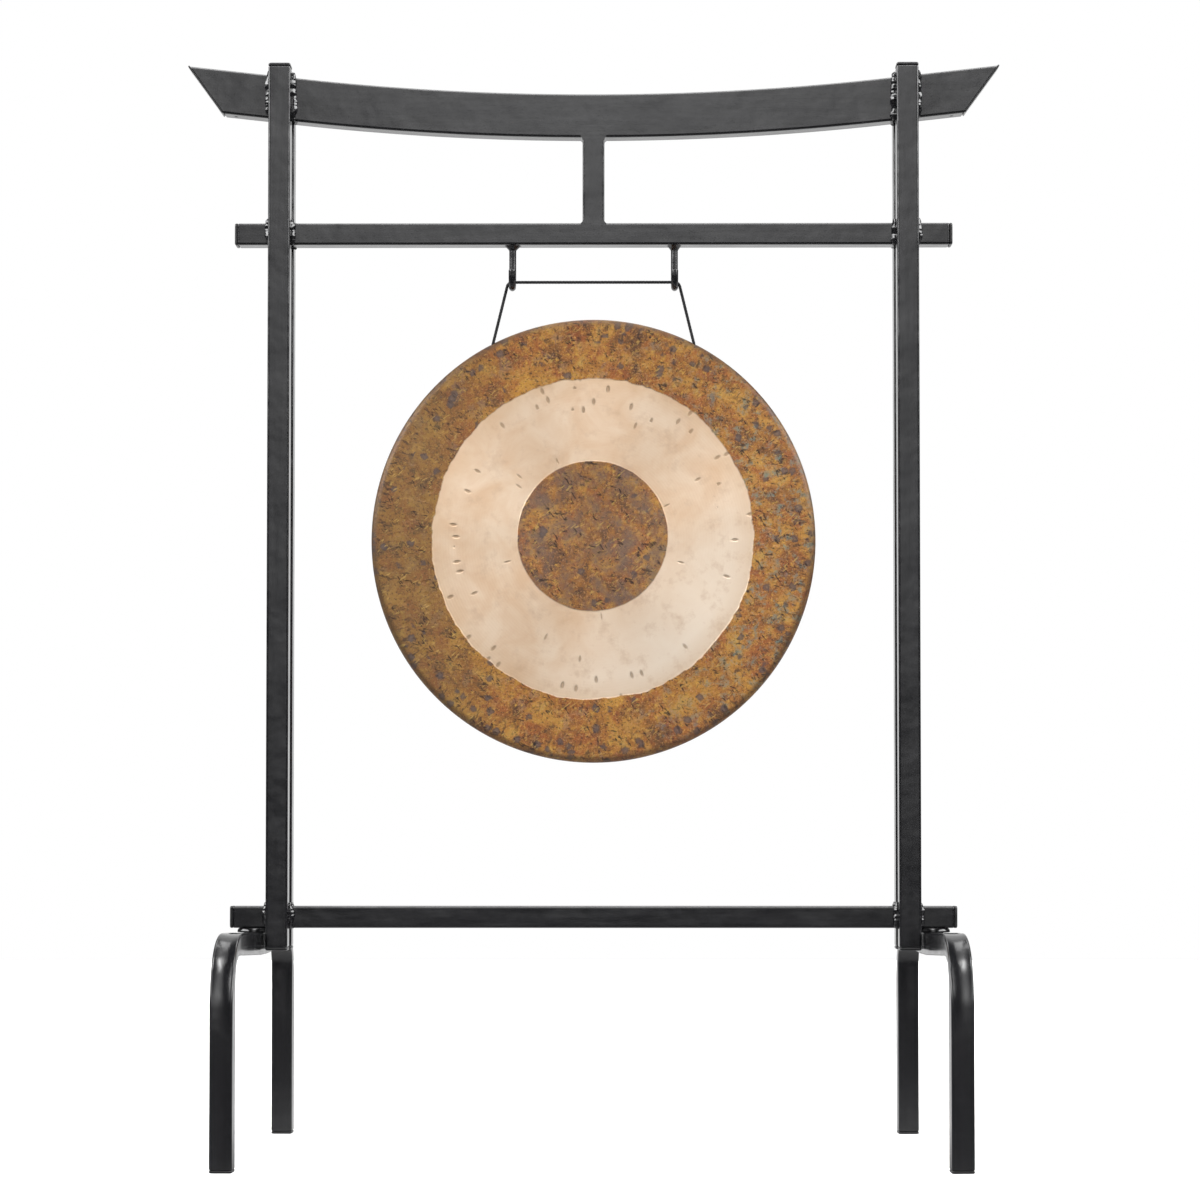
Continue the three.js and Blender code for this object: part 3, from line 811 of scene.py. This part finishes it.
def arch_stations():
    """Along the arch: centre, outward direction, how far it is drawn in, squeeze, end rounding."""
    leg = ARCH_DEPTH / 2 - TUBE / 2
    line = ARCH_TOP - TUBE / 2
    rise = math.atan(ARCH_RISE / (leg - ARCH_LEVEL_RUN / 2))
    turn = math.pi / 2 + rise
    start = line + ARCH_RISE - ARCH_BEND * math.tan(turn / 2)
    quarter = ARCH_BEND * turn / 2
    ahead = np.array([0, math.cos(rise), -math.sin(rise)])
    upward = (0, math.sin(rise), math.cos(rise))
    fading = np.linspace(0, ARCH_DENT_RUN, ARCH_DENT_STEPS + 1)[1:]

    def drawn(beyond):
        """The dent at a distance from the bend's middle: it fades out in the straight beside it."""
        share = min(1, abs(beyond) / (quarter + ARCH_DENT_RUN))
        return (1 - share ** 2) ** 1.5

    half = []
    for along, inset in rounded_edge(TUBE_END_ROUNDING):
        half.append(((0, -leg, ARCH_BOTTOM + along), (0, -1, 0), 0.0, 0.0, inset))
    for beyond in reversed(fading):
        half.append(((0, -leg, start - beyond), (0, -1, 0), drawn(quarter + beyond), 0.0, 0.0))
    for share in np.linspace(0, 1, ARCH_BEND_STEPS + 1):
        outward = np.array([0, -math.cos(turn * share), math.sin(turn * share)])
        centre = np.array([0, ARCH_BEND - leg, start]) + ARCH_BEND * outward
        dent = drawn((share - 0.5) * 2 * quarter)
        half.append((centre, outward, dent, inside_squeeze(turn * share), 0.0))
    for beyond in fading:
        half.append((centre + beyond * ahead, upward, drawn(quarter + beyond), 0.0, 0.0))
    level = (0, math.sin(rise / 2), math.cos(rise / 2))
    half.append(((0, -ARCH_LEVEL_RUN / 2, line), level, 0.0, 0.0, 0.0))
    mirror = np.array([1, -1, 1])
    return half + [(centre * mirror, out * mirror, *rest) for centre, out, *rest in reversed(half)]


def drawn_in(outline, bend, squeeze):
    """A section in the bend: both walls across it sink in, and its sides swell."""
    half = TUBE / 2
    wide = 1 - np.clip(np.abs(outline[:, 0]) / half, 0, 1) ** 2
    tall = 1 - np.clip(np.abs(outline[:, 1]) / half, 0, 1) ** 2
    sink = np.where(outline[:, 1] > 0, -ARCH_DENT_OUTSIDE, ARCH_DENT_INSIDE)
    sink *= np.clip(np.abs(outline[:, 1]) / half, 0, 1) ** 4
    bent = outline.copy()
    bent[:, 1] += bend * wide * sink + squeeze * (0.5 - outline[:, 1] / TUBE)
    bent[:, 0] += bend * tall * ARCH_BULGE * np.sign(outline[:, 0])
    return bent


def refined(outline, steps=7):
    """The same outline with points added along its four flats."""
    points = []
    for here, ahead in zip(outline, np.roll(outline, -1, axis=0)):
        parts = steps if np.linalg.norm(ahead - here) > TUBE / 2 else 1
        points += [here + (ahead - here) * part / parts for part in range(parts)]
    return np.array(points)


def foot_arch(side, sign):
    """One foot: its bent tube, with a hole for the bolt and one for the key under it, toed out."""
    outer, inner = [], []
    bore = refined(rounded_rectangle(TUBE - 2 * TUBE_WALL, TUBE - 2 * TUBE_WALL, BORE_CORNER))
    for centre, outward, bend, squeeze, inset in arch_stations():
        shell = refined(tube_outline(inset))
        outward = np.array(outward, float)
        outer.append(laid(drawn_in(shell, bend, squeeze), centre, X, outward))
        inner.append(laid(drawn_in(bore, bend, squeeze), centre, X, outward))
    made = loft(f"foot_arch_tube_{side}", outer + inner[::-1], UPRIGHT_COAT, hollow=True)
    drill(made, [
        ((0, 0, ARCH_TOP), Z, BOLT_HOLE, WALL_DRILL),
        ((0, 0, ARCH_TOP - TUBE), Z, ACCESS_HOLE, WALL_DRILL),
    ])
    toed = Matrix.Rotation(sign * ARCH_TOE, 4, "Z")
    made.data.transform(Matrix.Translation((sign * FOOT_LINE * MM, 0, 0)) @ toed)
    dress(made, "stand", "black_paint", f"foot_arch_{side}")


def foot_spacer(side, sign):
    """The disc between the bar's end and the arch: domed at its edge, with the bolt's hole."""
    low, high = corners(f"foot_spacer_{side}")
    rim, thick = (high[0] - low[0]) / 2, high[2] - low[2]
    bore, top = BOLT_HOLE / 2, rim - SPACER_ROUNDING
    outline = [(bore, 0), (bore, thick)]
    outline += [(r, thick) for r in np.linspace(bore + 1, top - 1, 4)]
    for angle in np.linspace(math.pi / 2, 0, 8):
        rise = SPACER_SEAT + (thick - SPACER_SEAT) * math.sin(angle)
        outline.append((top + SPACER_ROUNDING * math.cos(angle), rise))
    outline += [(rim, SPACER_EASE), (rim - SPACER_EASE, 0)]
    middle = (sign * FOOT_LINE, 0, low[2])
    rings = [laid(outline, middle, X * math.cos(a) + Y * math.sin(a), Z) for a in turns(64)]
    made = loft(f"spacer_disc_{side}", rings, SPACER_PLASTIC, hollow=True)
    dress(made, "stand", "spacer_plastic", f"foot_spacer_{side}")


for side, sign in SIDES:
    foot_arch(side, sign)
for side, sign in SIDES:
    foot_spacer(side, sign)


# Caps, pushed into the open tube ends

def cap(node, outward, turn=0.0):
    """A push-in cap: a flange with rounded edges, and a hollow plug with two ribs around it."""
    low, high = corners(node)
    flange = FOOT_CAP_FLANGE if node.startswith("foot") else CAP_FLANGE
    middle = (low + high) / 2 - outward * ((CAP_PLUG + flange) / 2 - CAP_PLUG)
    spin = Matrix.Rotation(turn, 3, "Z")
    across = np.array(spin @ Vector(X if abs(outward[0]) < 0.5 else Y))
    upward = np.cross(outward, across)
    plug = TUBE - 2 * TUBE_WALL - 2 * CAP_FIT
    hollow = plug - 2 * CAP_PLUG_WALL
    # Each section: its width, its corner and how far out it lies from the tube's end
    sections = [(2, 1, flange), (TUBE - 2 * CAP_ROUNDING - 0.6, 2, flange)]
    for angle in np.linspace(math.pi / 2, 0, 6):
        width = TUBE - 2 * CAP_ROUNDING * (1 - math.cos(angle))
        sections.append((width, TUBE_CORNER, flange - CAP_ROUNDING * (1 - math.sin(angle))))
    sections += [
        (TUBE, TUBE_CORNER, 0.5), (TUBE - 0.3, TUBE_CORNER, 0.15), (TUBE - 0.9, 2.3, 0),
        (plug + CAP_RIB, 1.2, 0), (plug, 1, -0.4),
    ]
    for rib in (-4, -8):
        sections += [(plug, 1, rib + 0.8), (plug + CAP_RIB, 1.2, rib + 0.2), (plug, 1, rib - 0.8)]
    sections += [
        (plug, 1, 1 - CAP_PLUG), (plug - 1, 1, -CAP_PLUG),
        (hollow, 0.5, -CAP_PLUG), (hollow, 0.5, 0),
    ]
    rings = []
    for size, corner, rise in sections:
        outline = rounded_rectangle(size, size, max(0.3, min(corner, size / 2 - 0.1)))
        rings.append(laid(outline, middle + outward * rise, across, upward))
    made = loft(f"{node}_moulding", rings, CAP_PLASTIC)
    dress(made, "stand", "cap_plastic", node)


for side, sign in SIDES:
    for row, _ in ROWS:
        cap(f"{row}_post_top_cap_{side}", Z)
        cap(f"{row}_post_bottom_cap_{side}", -Z)
        cap(f"foot_cap_{row}_{side}", -Z, sign * ARCH_TOE)
    cap(f"middle_beam_cap_{side}", sign * X)
    cap(f"bottom_bar_cap_{side}", sign * X)


# Hooks, bent from round rod

def hook(side, sign):
    """One J of rod: down from the beam, round its bend and up to a rounded tip."""
    path = [((0, 0, z), (0, 0, -1), HOOK_ROD) for z in np.linspace(HOOK_ROOT, HOOK_BEND_LINE, 12)]
    for angle in np.linspace(0, math.pi, 25)[1:]:
        y = -HOOK_BEND + HOOK_BEND * math.cos(angle)
        z = HOOK_BEND_LINE - HOOK_BEND * math.sin(angle)
        path.append(((0, y, z), (0, -math.sin(angle), -math.cos(angle)), HOOK_ROD))
    for along, inset in reversed(rounded_edge(HOOK_TIP_ROUNDING)):
        path.append(((0, -2 * HOOK_BEND, HOOK_TIP - along), (0, 0, 1), HOOK_ROD - 2 * inset))
    rings = [
        laid(circle(size, ROD_SIDES), centre + sign * HOOK_LINE * X, X, np.cross(heading, X))
        for centre, heading, size in path
    ]
    made = loft(f"hook_rod_{side}", rings, COAT)
    dress(made, "stand", "black_paint", f"hook_{side}")


for side, sign in SIDES:
    hook(side, sign)


# Geometry Nodes

def node_tree(name, **sizes):
    """A geometry tree with one input for each size, and the sockets to read them from."""
    tree = bpy.data.node_groups.new(name, "GeometryNodeTree")
    for way in ("OUTPUT", "INPUT"):
        tree.interface.new_socket("Geometry", in_out=way, socket_type="NodeSocketGeometry")
    for key, value in sizes.items():
        kind = "NodeSocketInt" if isinstance(value, int) else "NodeSocketFloat"
        tree.interface.new_socket(key, in_out="INPUT", socket_type=kind).default_value = value
    return tree, tree.nodes.new("NodeGroupInput").outputs


def finished_tree(tree, geometry, material):
    """The tree with its last nodes: real geometry, in its material."""
    real = add(tree, "GeometryNodeRealizeInstances", geometry)
    add(tree, "NodeGroupOutput", add(tree, "GeometryNodeSetMaterial", real, Material=material))
    return tree


def grown(name, points, edges, tree, **sizes):
    """Runs a geometry tree on a line drawing, and keeps the result as a plain mesh."""
    drawing = bpy.data.meshes.new(name)
    drawing.from_pydata((np.asarray(points, float) * MM).tolist(), edges, [])
    made = bpy.data.objects.new(name, drawing)
    bpy.context.scene.collection.objects.link(made)
    grower = made.modifiers.new(tree.name, "NODES")
    grower.node_group = tree
    for item in tree.interface.items_tree:
        if item.in_out == "INPUT" and item.name in sizes:
            grower[item.identifier] = sizes[item.name]
    settled(made)
    tidy(made.data)
    return made


# Welds: a lumpy bead down each seam, drawn to a point at its ends

def bead_tree():
    """A round bead along each line: it thins at both ends, with ripples along it and lumps."""
    tree, size = node_tree(
        "weld_bead", Radius=WELD_RADIUS * MM, Step=0.8 * MM, Ripple=0.02, Pitch=4.3 * MM,
        Lumps=8 * MM, Taper=9 * MM, Seed=3,
    )
    line = add(tree, "GeometryNodeMeshToCurve", size["Geometry"])
    line = add(tree, "GeometryNodeResampleCurve", line, Length=size["Step"], mode="LENGTH")
    along = add(tree, "GeometryNodeSplineParameter", out=1)
    whole = add(tree, "GeometryNodeSplineLength")
    left = add(tree, MATH, whole, along, **MINUS)
    near = add(tree, MATH, left, along, operation="MINIMUM")
    thick = add(tree, RANGE, near, 0.0, size["Taper"], 0.18, 1.0)
    thick = add(tree, MATH, thick, 0.5, operation="POWER")
    phase = add(tree, MATH, along, size["Pitch"], operation="DIVIDE")
    wave = add(tree, MATH, add(tree, MATH, phase, 2 * math.pi, **TIMES), operation="SINE")
    wave = add(tree, MATH, wave, size["Ripple"], 1.0, operation="MULTIPLY_ADD")
    thick = add(tree, MATH, thick, wave, **TIMES)
    thick = add(tree, MATH, thick, size["Radius"], **TIMES)
    section = add(tree, "GeometryNodeCurvePrimitiveCircle", 14, 1.0)
    bead = add(tree, "GeometryNodeCurveToMesh", line, section, thick, True)
    lumps = add(tree, NOISE, W=size["Seed"], Scale=per_metre(9), Detail=3, noise_dimensions="4D")
    lumps = add(tree, MATH, add(tree, MATH, lumps, 0.5, **MINUS), size["Lumps"], **TIMES)
    outward = add(tree, "GeometryNodeInputNormal")
    outward = add(tree, VECTOR, outward, Scale=lumps, operation="SCALE")
    bead = add(tree, "GeometryNodeSetPosition", bead, Offset=outward)
    return finished_tree(tree, bead, WELD_COAT)


def seams():
    """Lower and upper end of each corner where a post's side meets a beam's face."""
    points = []
    for side, _ in SIDES:
        for row, front in ROWS:
            low, high = corners(f"{row}_post_{side}")
            for x in (low[0] - WELD_OFFSET, high[0] + WELD_OFFSET):
                y = front * (TUBE / 2 + WELD_OFFSET)
                line = beam_rise(x)[0] + BEAM_LINE
                spans = [(line - BEAM_HEIGHT / 2, line + BEAM_HEIGHT / 2)]
                spans += [[c[2] for c in corners(node)] for node in ("middle_beam", "bottom_bar")]
                for bottom, top in spans:
                    points += [(x, y, bottom - WELD_OVERRUN[0]), (x, y, top + WELD_OVERRUN[1])]
    return points


def hook_weld(side, sign):
    """The weld round a hook's root: wide on the beam, drawn in to the rod and uneven all round."""
    x = sign * HOOK_LINE
    angles = turns(40)
    uneven = 1 + 0.16 * np.sin(2 * angles + x) + 0.1 * np.sin(5 * angles + 2 * x)
    rings = []
    for share in np.linspace(0, 1, 9):
        spread = HOOK_WELD_FLARE * uneven * (1 - share) ** 1.2 + HOOK_WELD_EDGE
        outline = (HOOK_ROD / 2 + spread)[:, None] * circle(2, len(angles))
        height = HOOK_ROOT + WELD_SINK - HOOK_WELD_LENGTH * share
        rings.append(laid(outline, (x, 0, height), X, Y))
    dress(loft(f"hook_weld_{side}", rings, WELD_COAT, sharp=60), "stand", "black_paint")


def ground_joint(name, z, up):
    """A strut weld ground flush: it fills the beam's round edges and flares at the strut."""
    half = TUBE / 2
    outline = [(half + STRUT_WELD_FLARE, up * STRUT_WELD_FILL)]
    for share in np.linspace(0, 1, 9):
        flare = STRUT_WELD_FLARE * (1 - share) ** 2.5
        outline.append((half + flare, up * (STRUT_WELD_EDGE - STRUT_WELD_LENGTH * share)))
    outline += [(-x, rise) for x, rise in reversed(outline)]
    proud = half + STRUT_WELD_PROUD
    rings = [laid(outline, (0, y, z), X, Z) for y in (-proud, proud)]
    dress(loft(name, rings, COAT), "stand", "black_paint")


seam_ends = seams()
seam_lines = [(first, first + 1) for first in range(0, len(seam_ends), 2)]
post_welds = grown("post_welds", seam_ends, seam_lines, bead_tree(), Radius=WELD_RADIUS * MM)
dress(post_welds, "stand", "black_paint")
for side, sign in SIDES:
    hook_weld(side, sign)
strut_low, strut_high = corners("centre_strut")
ground_joint("strut_weld_upper", strut_high[2] + WELD_SINK, 1)
ground_joint("strut_weld_lower", strut_low[2], -1)


# Gong

def gong_outline():
    """Radius and depth of the gong's skins: over the face and rim, and back inside."""
    face = GONG_RADIUS - GONG_SHOULDER
    lip = GONG_RADIUS - GONG_TAPER
    inner = GONG_SHOULDER - GONG_WALL
    edge = GONG_DEPTH - GONG_LIP_ROUNDING

    def crowned(depth, radii):
        return [(r, depth - GONG_CROWN * (1 - (r / face) ** 2)) for r in radii]

    def tapered(radius, shares):
        depth = GONG_DEPTH - GONG_SHOULDER
        return [(radius - GONG_TAPER * share, GONG_SHOULDER + depth * share) for share in shares]

    points = crowned(0, np.linspace(0, face, GONG_FACE_ROWS))
    for angle in np.linspace(0, math.pi / 2, 9)[1:]:
        out, back = GONG_SHOULDER * math.sin(angle), GONG_SHOULDER * (1 - math.cos(angle))
        points.append((face + out, back))
    points += tapered(GONG_RADIUS, np.linspace(0, 1, 15)[1:-1])
    points += [(lip - GONG_LIP_EASE, edge), (lip - GONG_LIP_ROUNDING, GONG_DEPTH)]
    points += [(lip - GONG_WALL + GONG_LIP_ROUNDING, GONG_DEPTH)]
    points += [(lip - GONG_WALL + GONG_LIP_EASE, edge)]
    points += tapered(GONG_RADIUS - GONG_WALL, np.linspace(1, 0, 11)[1:-1])
    for angle in np.linspace(math.pi / 2, 0, 7)[:-1]:
        points.append((face + inner * math.sin(angle), GONG_SHOULDER - inner * math.cos(angle)))
    return points + crowned(GONG_WALL, np.linspace(face, 0, GONG_BACK_ROWS))


def gong_tree():
    """Turns the outline about the gong's axis, and hammers both skins alike, less on the ring."""
    tree, size = node_tree(
        "hammered_gong", Segments=GONG_SEGMENTS, Waves=0.5 * MM, Dents=0.22 * MM,
        Turned_Share=0.35, Seed=5,
    )
    outline = size["Geometry"]
    rows = add(tree, "GeometryNodeAttributeDomainSize", outline)
    columns = add(tree, MATH, size["Segments"], 1, **PLUS)
    grid = add(tree, "GeometryNodeMeshGrid", 1.0, 1.0, rows, columns)

    # The grid's first direction counts the outline's points, and its second goes round.
    position = add(tree, "GeometryNodeInputPosition")
    place = add(tree, SPLIT, position)
    across = add(tree, MATH, place, 0.5, **PLUS)
    last = add(tree, MATH, rows, 1, **MINUS)
    row = add(tree, MATH, add(tree, MATH, across, last, **TIMES), operation="ROUND")
    turn = add(tree, MATH, place.node.outputs["Y"], 2 * math.pi, **TIMES)
    here = add(tree, "GeometryNodeSampleIndex", outline, position, row, data_type="FLOAT_VECTOR")
    radius = add(tree, SPLIT, here)
    depth = radius.node.outputs["Y"]
    x = add(tree, MATH, radius, add(tree, MATH, turn, operation="SINE"), **TIMES)
    z = add(tree, MATH, radius, add(tree, MATH, turn, operation="COSINE"), **TIMES)
    face = add(tree, JOIN, x, 0.0, z)

    # The hammering fades over the last 20 mm to the rim, and on the ring within 3 mm of its edges.
    on_face = add(tree, RANGE, radius, GONG_RADIUS * MM, (GONG_RADIUS - 20) * MM)
    off_ring = add(tree, MATH, radius, (HUB_RADIUS + RING_RADIUS) / 2 * MM, **MINUS)
    off_ring = add(tree, MATH, off_ring, operation="ABSOLUTE")
    nearer, farther = [((RING_RADIUS - HUB_RADIUS) / 2 + past) * MM for past in (-3, 3)]
    share = add(tree, RANGE, off_ring, nearer, farther, size["Turned_Share"], 1.0)
    wave = add(tree, NOISE, face, size["Seed"], per_metre(42), 2, 0.5, noise_dimensions="4D")
    wave = add(tree, MATH, add(tree, MATH, wave, 0.5, **MINUS), size["Waves"], **TIMES)
    dent = add(tree, CELLS, face, size["Seed"], per_metre(15), voronoi_dimensions="4D",
               feature="SMOOTH_F1")
    dent = add(tree, RANGE, dent, 0.1, 0.6, size["Dents"], 0.0)
    lift = add(tree, MATH, wave, dent, **PLUS)
    lift = add(tree, MATH, add(tree, MATH, lift, on_face, **TIMES), share, **TIMES)
    spot = add(tree, JOIN, x, add(tree, MATH, depth, lift, **PLUS), z)
    spot = add(tree, VECTOR, spot, [c * MM for c in GONG_PLACE], **PLUS)
    disc = add(tree, "GeometryNodeSetPosition", grid, Position=spot)
    disc = add(tree, "GeometryNodeMergeByDistance", disc, Distance=0.02 * MM)
    return finished_tree(tree, disc, BRONZE)


gong = grown("hammered_disc", [(r, depth, 0) for r, depth in gong_outline()], [], gong_tree())
rim_holes = []
for _, sign in SIDES:
    spoke = np.array([sign * math.sin(RIM_HOLE_ANGLE), 0, math.cos(RIM_HOLE_ANGLE)])
    middle = GONG_PLACE + spoke * (GONG_RADIUS - RIM_DRILL_INSET) + Y * RIM_HOLE_DEPTH
    rim_holes.append((middle, spoke, RIM_HOLE_DIAMETER, RIM_DRILL))
drill(gong, rim_holes)
dress(gong, "gong", "gong_bronze", "gong")


# Cord and knots

def distances(points):
    """How far along a line each of its points lies."""
    return np.concatenate([[0], np.cumsum(np.linalg.norm(np.diff(points, axis=0), axis=1))])


def smooth_route(points, step):
    """A rounded curve through the points, with a point at every step along it."""
    points = np.asarray(points, float)
    chord = distances(points)
    places = np.linspace(0, chord[-1], int(chord[-1] / step) + 1)
    route = np.stack([np.interp(places, chord, points[:, axis]) for axis in range(3)], axis=1)
    for _ in range(2):
        route[1:-1] = (route[:-2] + 2 * route[1:-1] + route[2:]) / 4
    return route


def rope(name, route, diameter, lay):
    """Three strands twisted together, as a tube with three lobes that turn along the route."""
    route = np.asarray(route, float)
    heading = np.gradient(route, axis=0)
    heading /= np.linalg.norm(heading, axis=1)[:, None]
    angles = turns(CORD_SIDES)
    across = np.cross(heading[0], Y if abs(heading[0][1]) < 0.9 else X)
    rings = []
    for centre, forward, distance in zip(route, heading, distances(route)):
        across = across - forward * (across @ forward)
        across /= np.linalg.norm(across)
        upward = np.cross(forward, across)
        phase = 2 * math.pi * distance / lay
        lobes = np.abs(np.cos(1.5 * (angles + phase))) ** 0.7
        width = 1 - STRAND_GROOVE + STRAND_GROOVE * lobes
        rings.append(laid(width[:, None] * circle(diameter, CORD_SIDES), centre, across, upward))
    return loft(name, rings, CORD_FIBRE, sharp=80)


def stopper_knot(side):
    """The knot behind a rim hole: a trefoil of the cord, drawn tight."""
    low, high = corners(f"cord_knot_{side}")
    angles = np.linspace(0, 2 * math.pi, 90)
    radius = KNOT_RADIUS + KNOT_LOBE * np.cos(3 * angles)
    route = np.stack([
        radius * np.cos(2 * angles), radius * np.sin(2 * angles), KNOT_LOBE * np.sin(3 * angles),
    ], axis=1)
    made = rope(f"stopper_knot_{side}", route + (low + high) / 2, KNOT_CORD, KNOT_LAY)
    dress(made, "gong", "cord", f"cord_knot_{side}")


right_half = [(x, CORD_LINE, z) for x, z in CORD_HALF]
cord_points = [(-x, y, z) for x, y, z in reversed(right_half[1:])] + right_half
cord = rope("twisted_cord", smooth_route(cord_points, CORD_STEP), CORD_DIAMETER, CORD_LAY)
dress(cord, "cord", "cord", "suspension_cord")
for side, _ in SIDES:
    stopper_knot(side)


# Screws inside the feet keep their CAD solids

for side, _ in SIDES:
    for node in (f"foot_bolt_{side}", f"foot_nut_{side}"):
        for slot in frame["nodes"][node].material_slots:
            slot.material = SCREW_STEEL


# Studio

def studio_world():
    """White behind, a narrow light in front that arches overhead, and one on either side of it."""
    world = bpy.data.worlds.new("studio")
    bpy.context.scene.world = world
    world.use_nodes = True
    tree = world.node_tree
    tree.nodes.clear()
    place = add(tree, SPLIT, add(tree, "ShaderNodeTexCoord"))
    y, z = place.node.outputs["Y"], place.node.outputs["Z"]
    sideways = add(tree, MATH, place, operation="ABSOLUTE")

    # Degrees above the horizon in front, and the light there
    lowest, span = -10, 180
    heights = (
        (-10, DARK), (-2.5, DARK), (3, 0.65), (21, 2.2), (32, 1.6), (50, 1.3), (92, 1.3),
        (125, 1.3), (128, 0),
    )
    brightest = max(light for _, light in heights)
    ahead = add(tree, MATH, y, -1.0, **TIMES)
    angle = add(tree, MATH, z, ahead, operation="ARCTAN2")
    angle = add(tree, RANGE, angle, math.radians(lowest), math.radians(lowest + span))
    stops = [
        ((degrees - lowest) / span, (*[light / brightest] * 3, 1)) for degrees, light in heights
    ]
    arch = add(tree, RAMP, angle, stops=stops)
    narrow = add(tree, RANGE, sideways, 0.0, 0.34, 1.28 * brightest, 0.0,
                 interpolation_type="SMOOTHSTEP")
    arch = add(tree, MATH, arch, narrow, **TIMES)

    # The other lights: a strength, and the fades that bound it, each dark and full at a value
    strip = (13.0, (sideways, 0.18, 0.04), (z, 0.85, 0.93), (y, -0.08, -0.2))
    wings = (10.0, (sideways, 0.54, 0.62), (y, 0.3, 0.15), (z, 0.14, 0.3), (z, 0.85, 0.6))
    behind = (1.0, (sideways, 0.45, 0.2), (y, 0.45, 0.7))
    lights = []
    for light, *fades in (strip, wings, behind):
        for value, dark, full in fades:
            light = add(tree, MATH, add(tree, RANGE, value, dark, full), light, **TIMES)
        lights.append(light)
    light = add(tree, MATH, add(tree, MATH, arch, lights[0], **PLUS), lights[1], **PLUS)
    light = add(tree, MATH, light, lights[2], operation="MAXIMUM")
    light = add(tree, MATH, light, DARK, operation="MAXIMUM")
    light = add(tree, MIX, add(tree, "ShaderNodeLightPath"), light, 1.0, data_type="FLOAT")
    add(tree, "ShaderNodeOutputWorld", add(tree, "ShaderNodeBackground", (1, 1, 1, 1), light))


def softbox(name, place, aim, size, power):
    """A rectangular studio lamp, aimed at a point, in metres and watts."""
    lamp = bpy.data.lights.new(name, "AREA")
    lamp.shape = "RECTANGLE"
    lamp.size, lamp.size_y = size
    lamp.energy = power
    made = bpy.data.objects.new(name, lamp)
    made.location = place
    made.rotation_euler = (Vector(aim) - Vector(place)).to_track_quat("-Z", "Y").to_euler()
    bpy.context.scene.collection.objects.link(made)


def studio_floor():
    """A white floor that keeps the stand's shadow, and is dark where its front is only mirrored."""
    tree, finish, place = shader("studio_floor")
    paths = add(tree, "ShaderNodeLightPath").node.outputs
    y = add(tree, SPLIT, place, out=1)
    mirrored = add(tree, RANGE, y, -0.5, 0.4, 0.12, 1.0)
    mirrored = add(tree, MATH, mirrored, paths["Is Glossy Ray"], **TIMES)
    paint = add(tree, MIX, paths["Is Glossy Ray"], 0.8, 0.0, data_type="FLOAT")
    glow = add(tree, MATH, paths["Is Camera Ray"], 0.5, mirrored, operation="MULTIPLY_ADD")
    white = finish(
        Base_Color=add(tree, "ShaderNodeCombineColor", paint, paint, paint),
        Roughness=0.9,
        Specular_IOR_Level=0.0,
        Emission_Color=(1, 1, 1, 1),
        Emission_Strength=glow,
    )
    ends = [(x * FLOOR_HALF, y * FLOOR_HALF, 0) for x, y in ((-1, -1), (1, -1), (1, 1), (-1, 1))]
    piece("floor", ends, [(0, 1, 2, 3)], white)


bpy.context.scene.view_settings.view_transform = "Standard"
studio_world()
softbox("overhead_softbox", place=(0, 1.2, 3.1), aim=(0, 0.6, 0), size=(2.4, 1.2), power=18)
studio_floor()

bpy.context.view_layer.update()
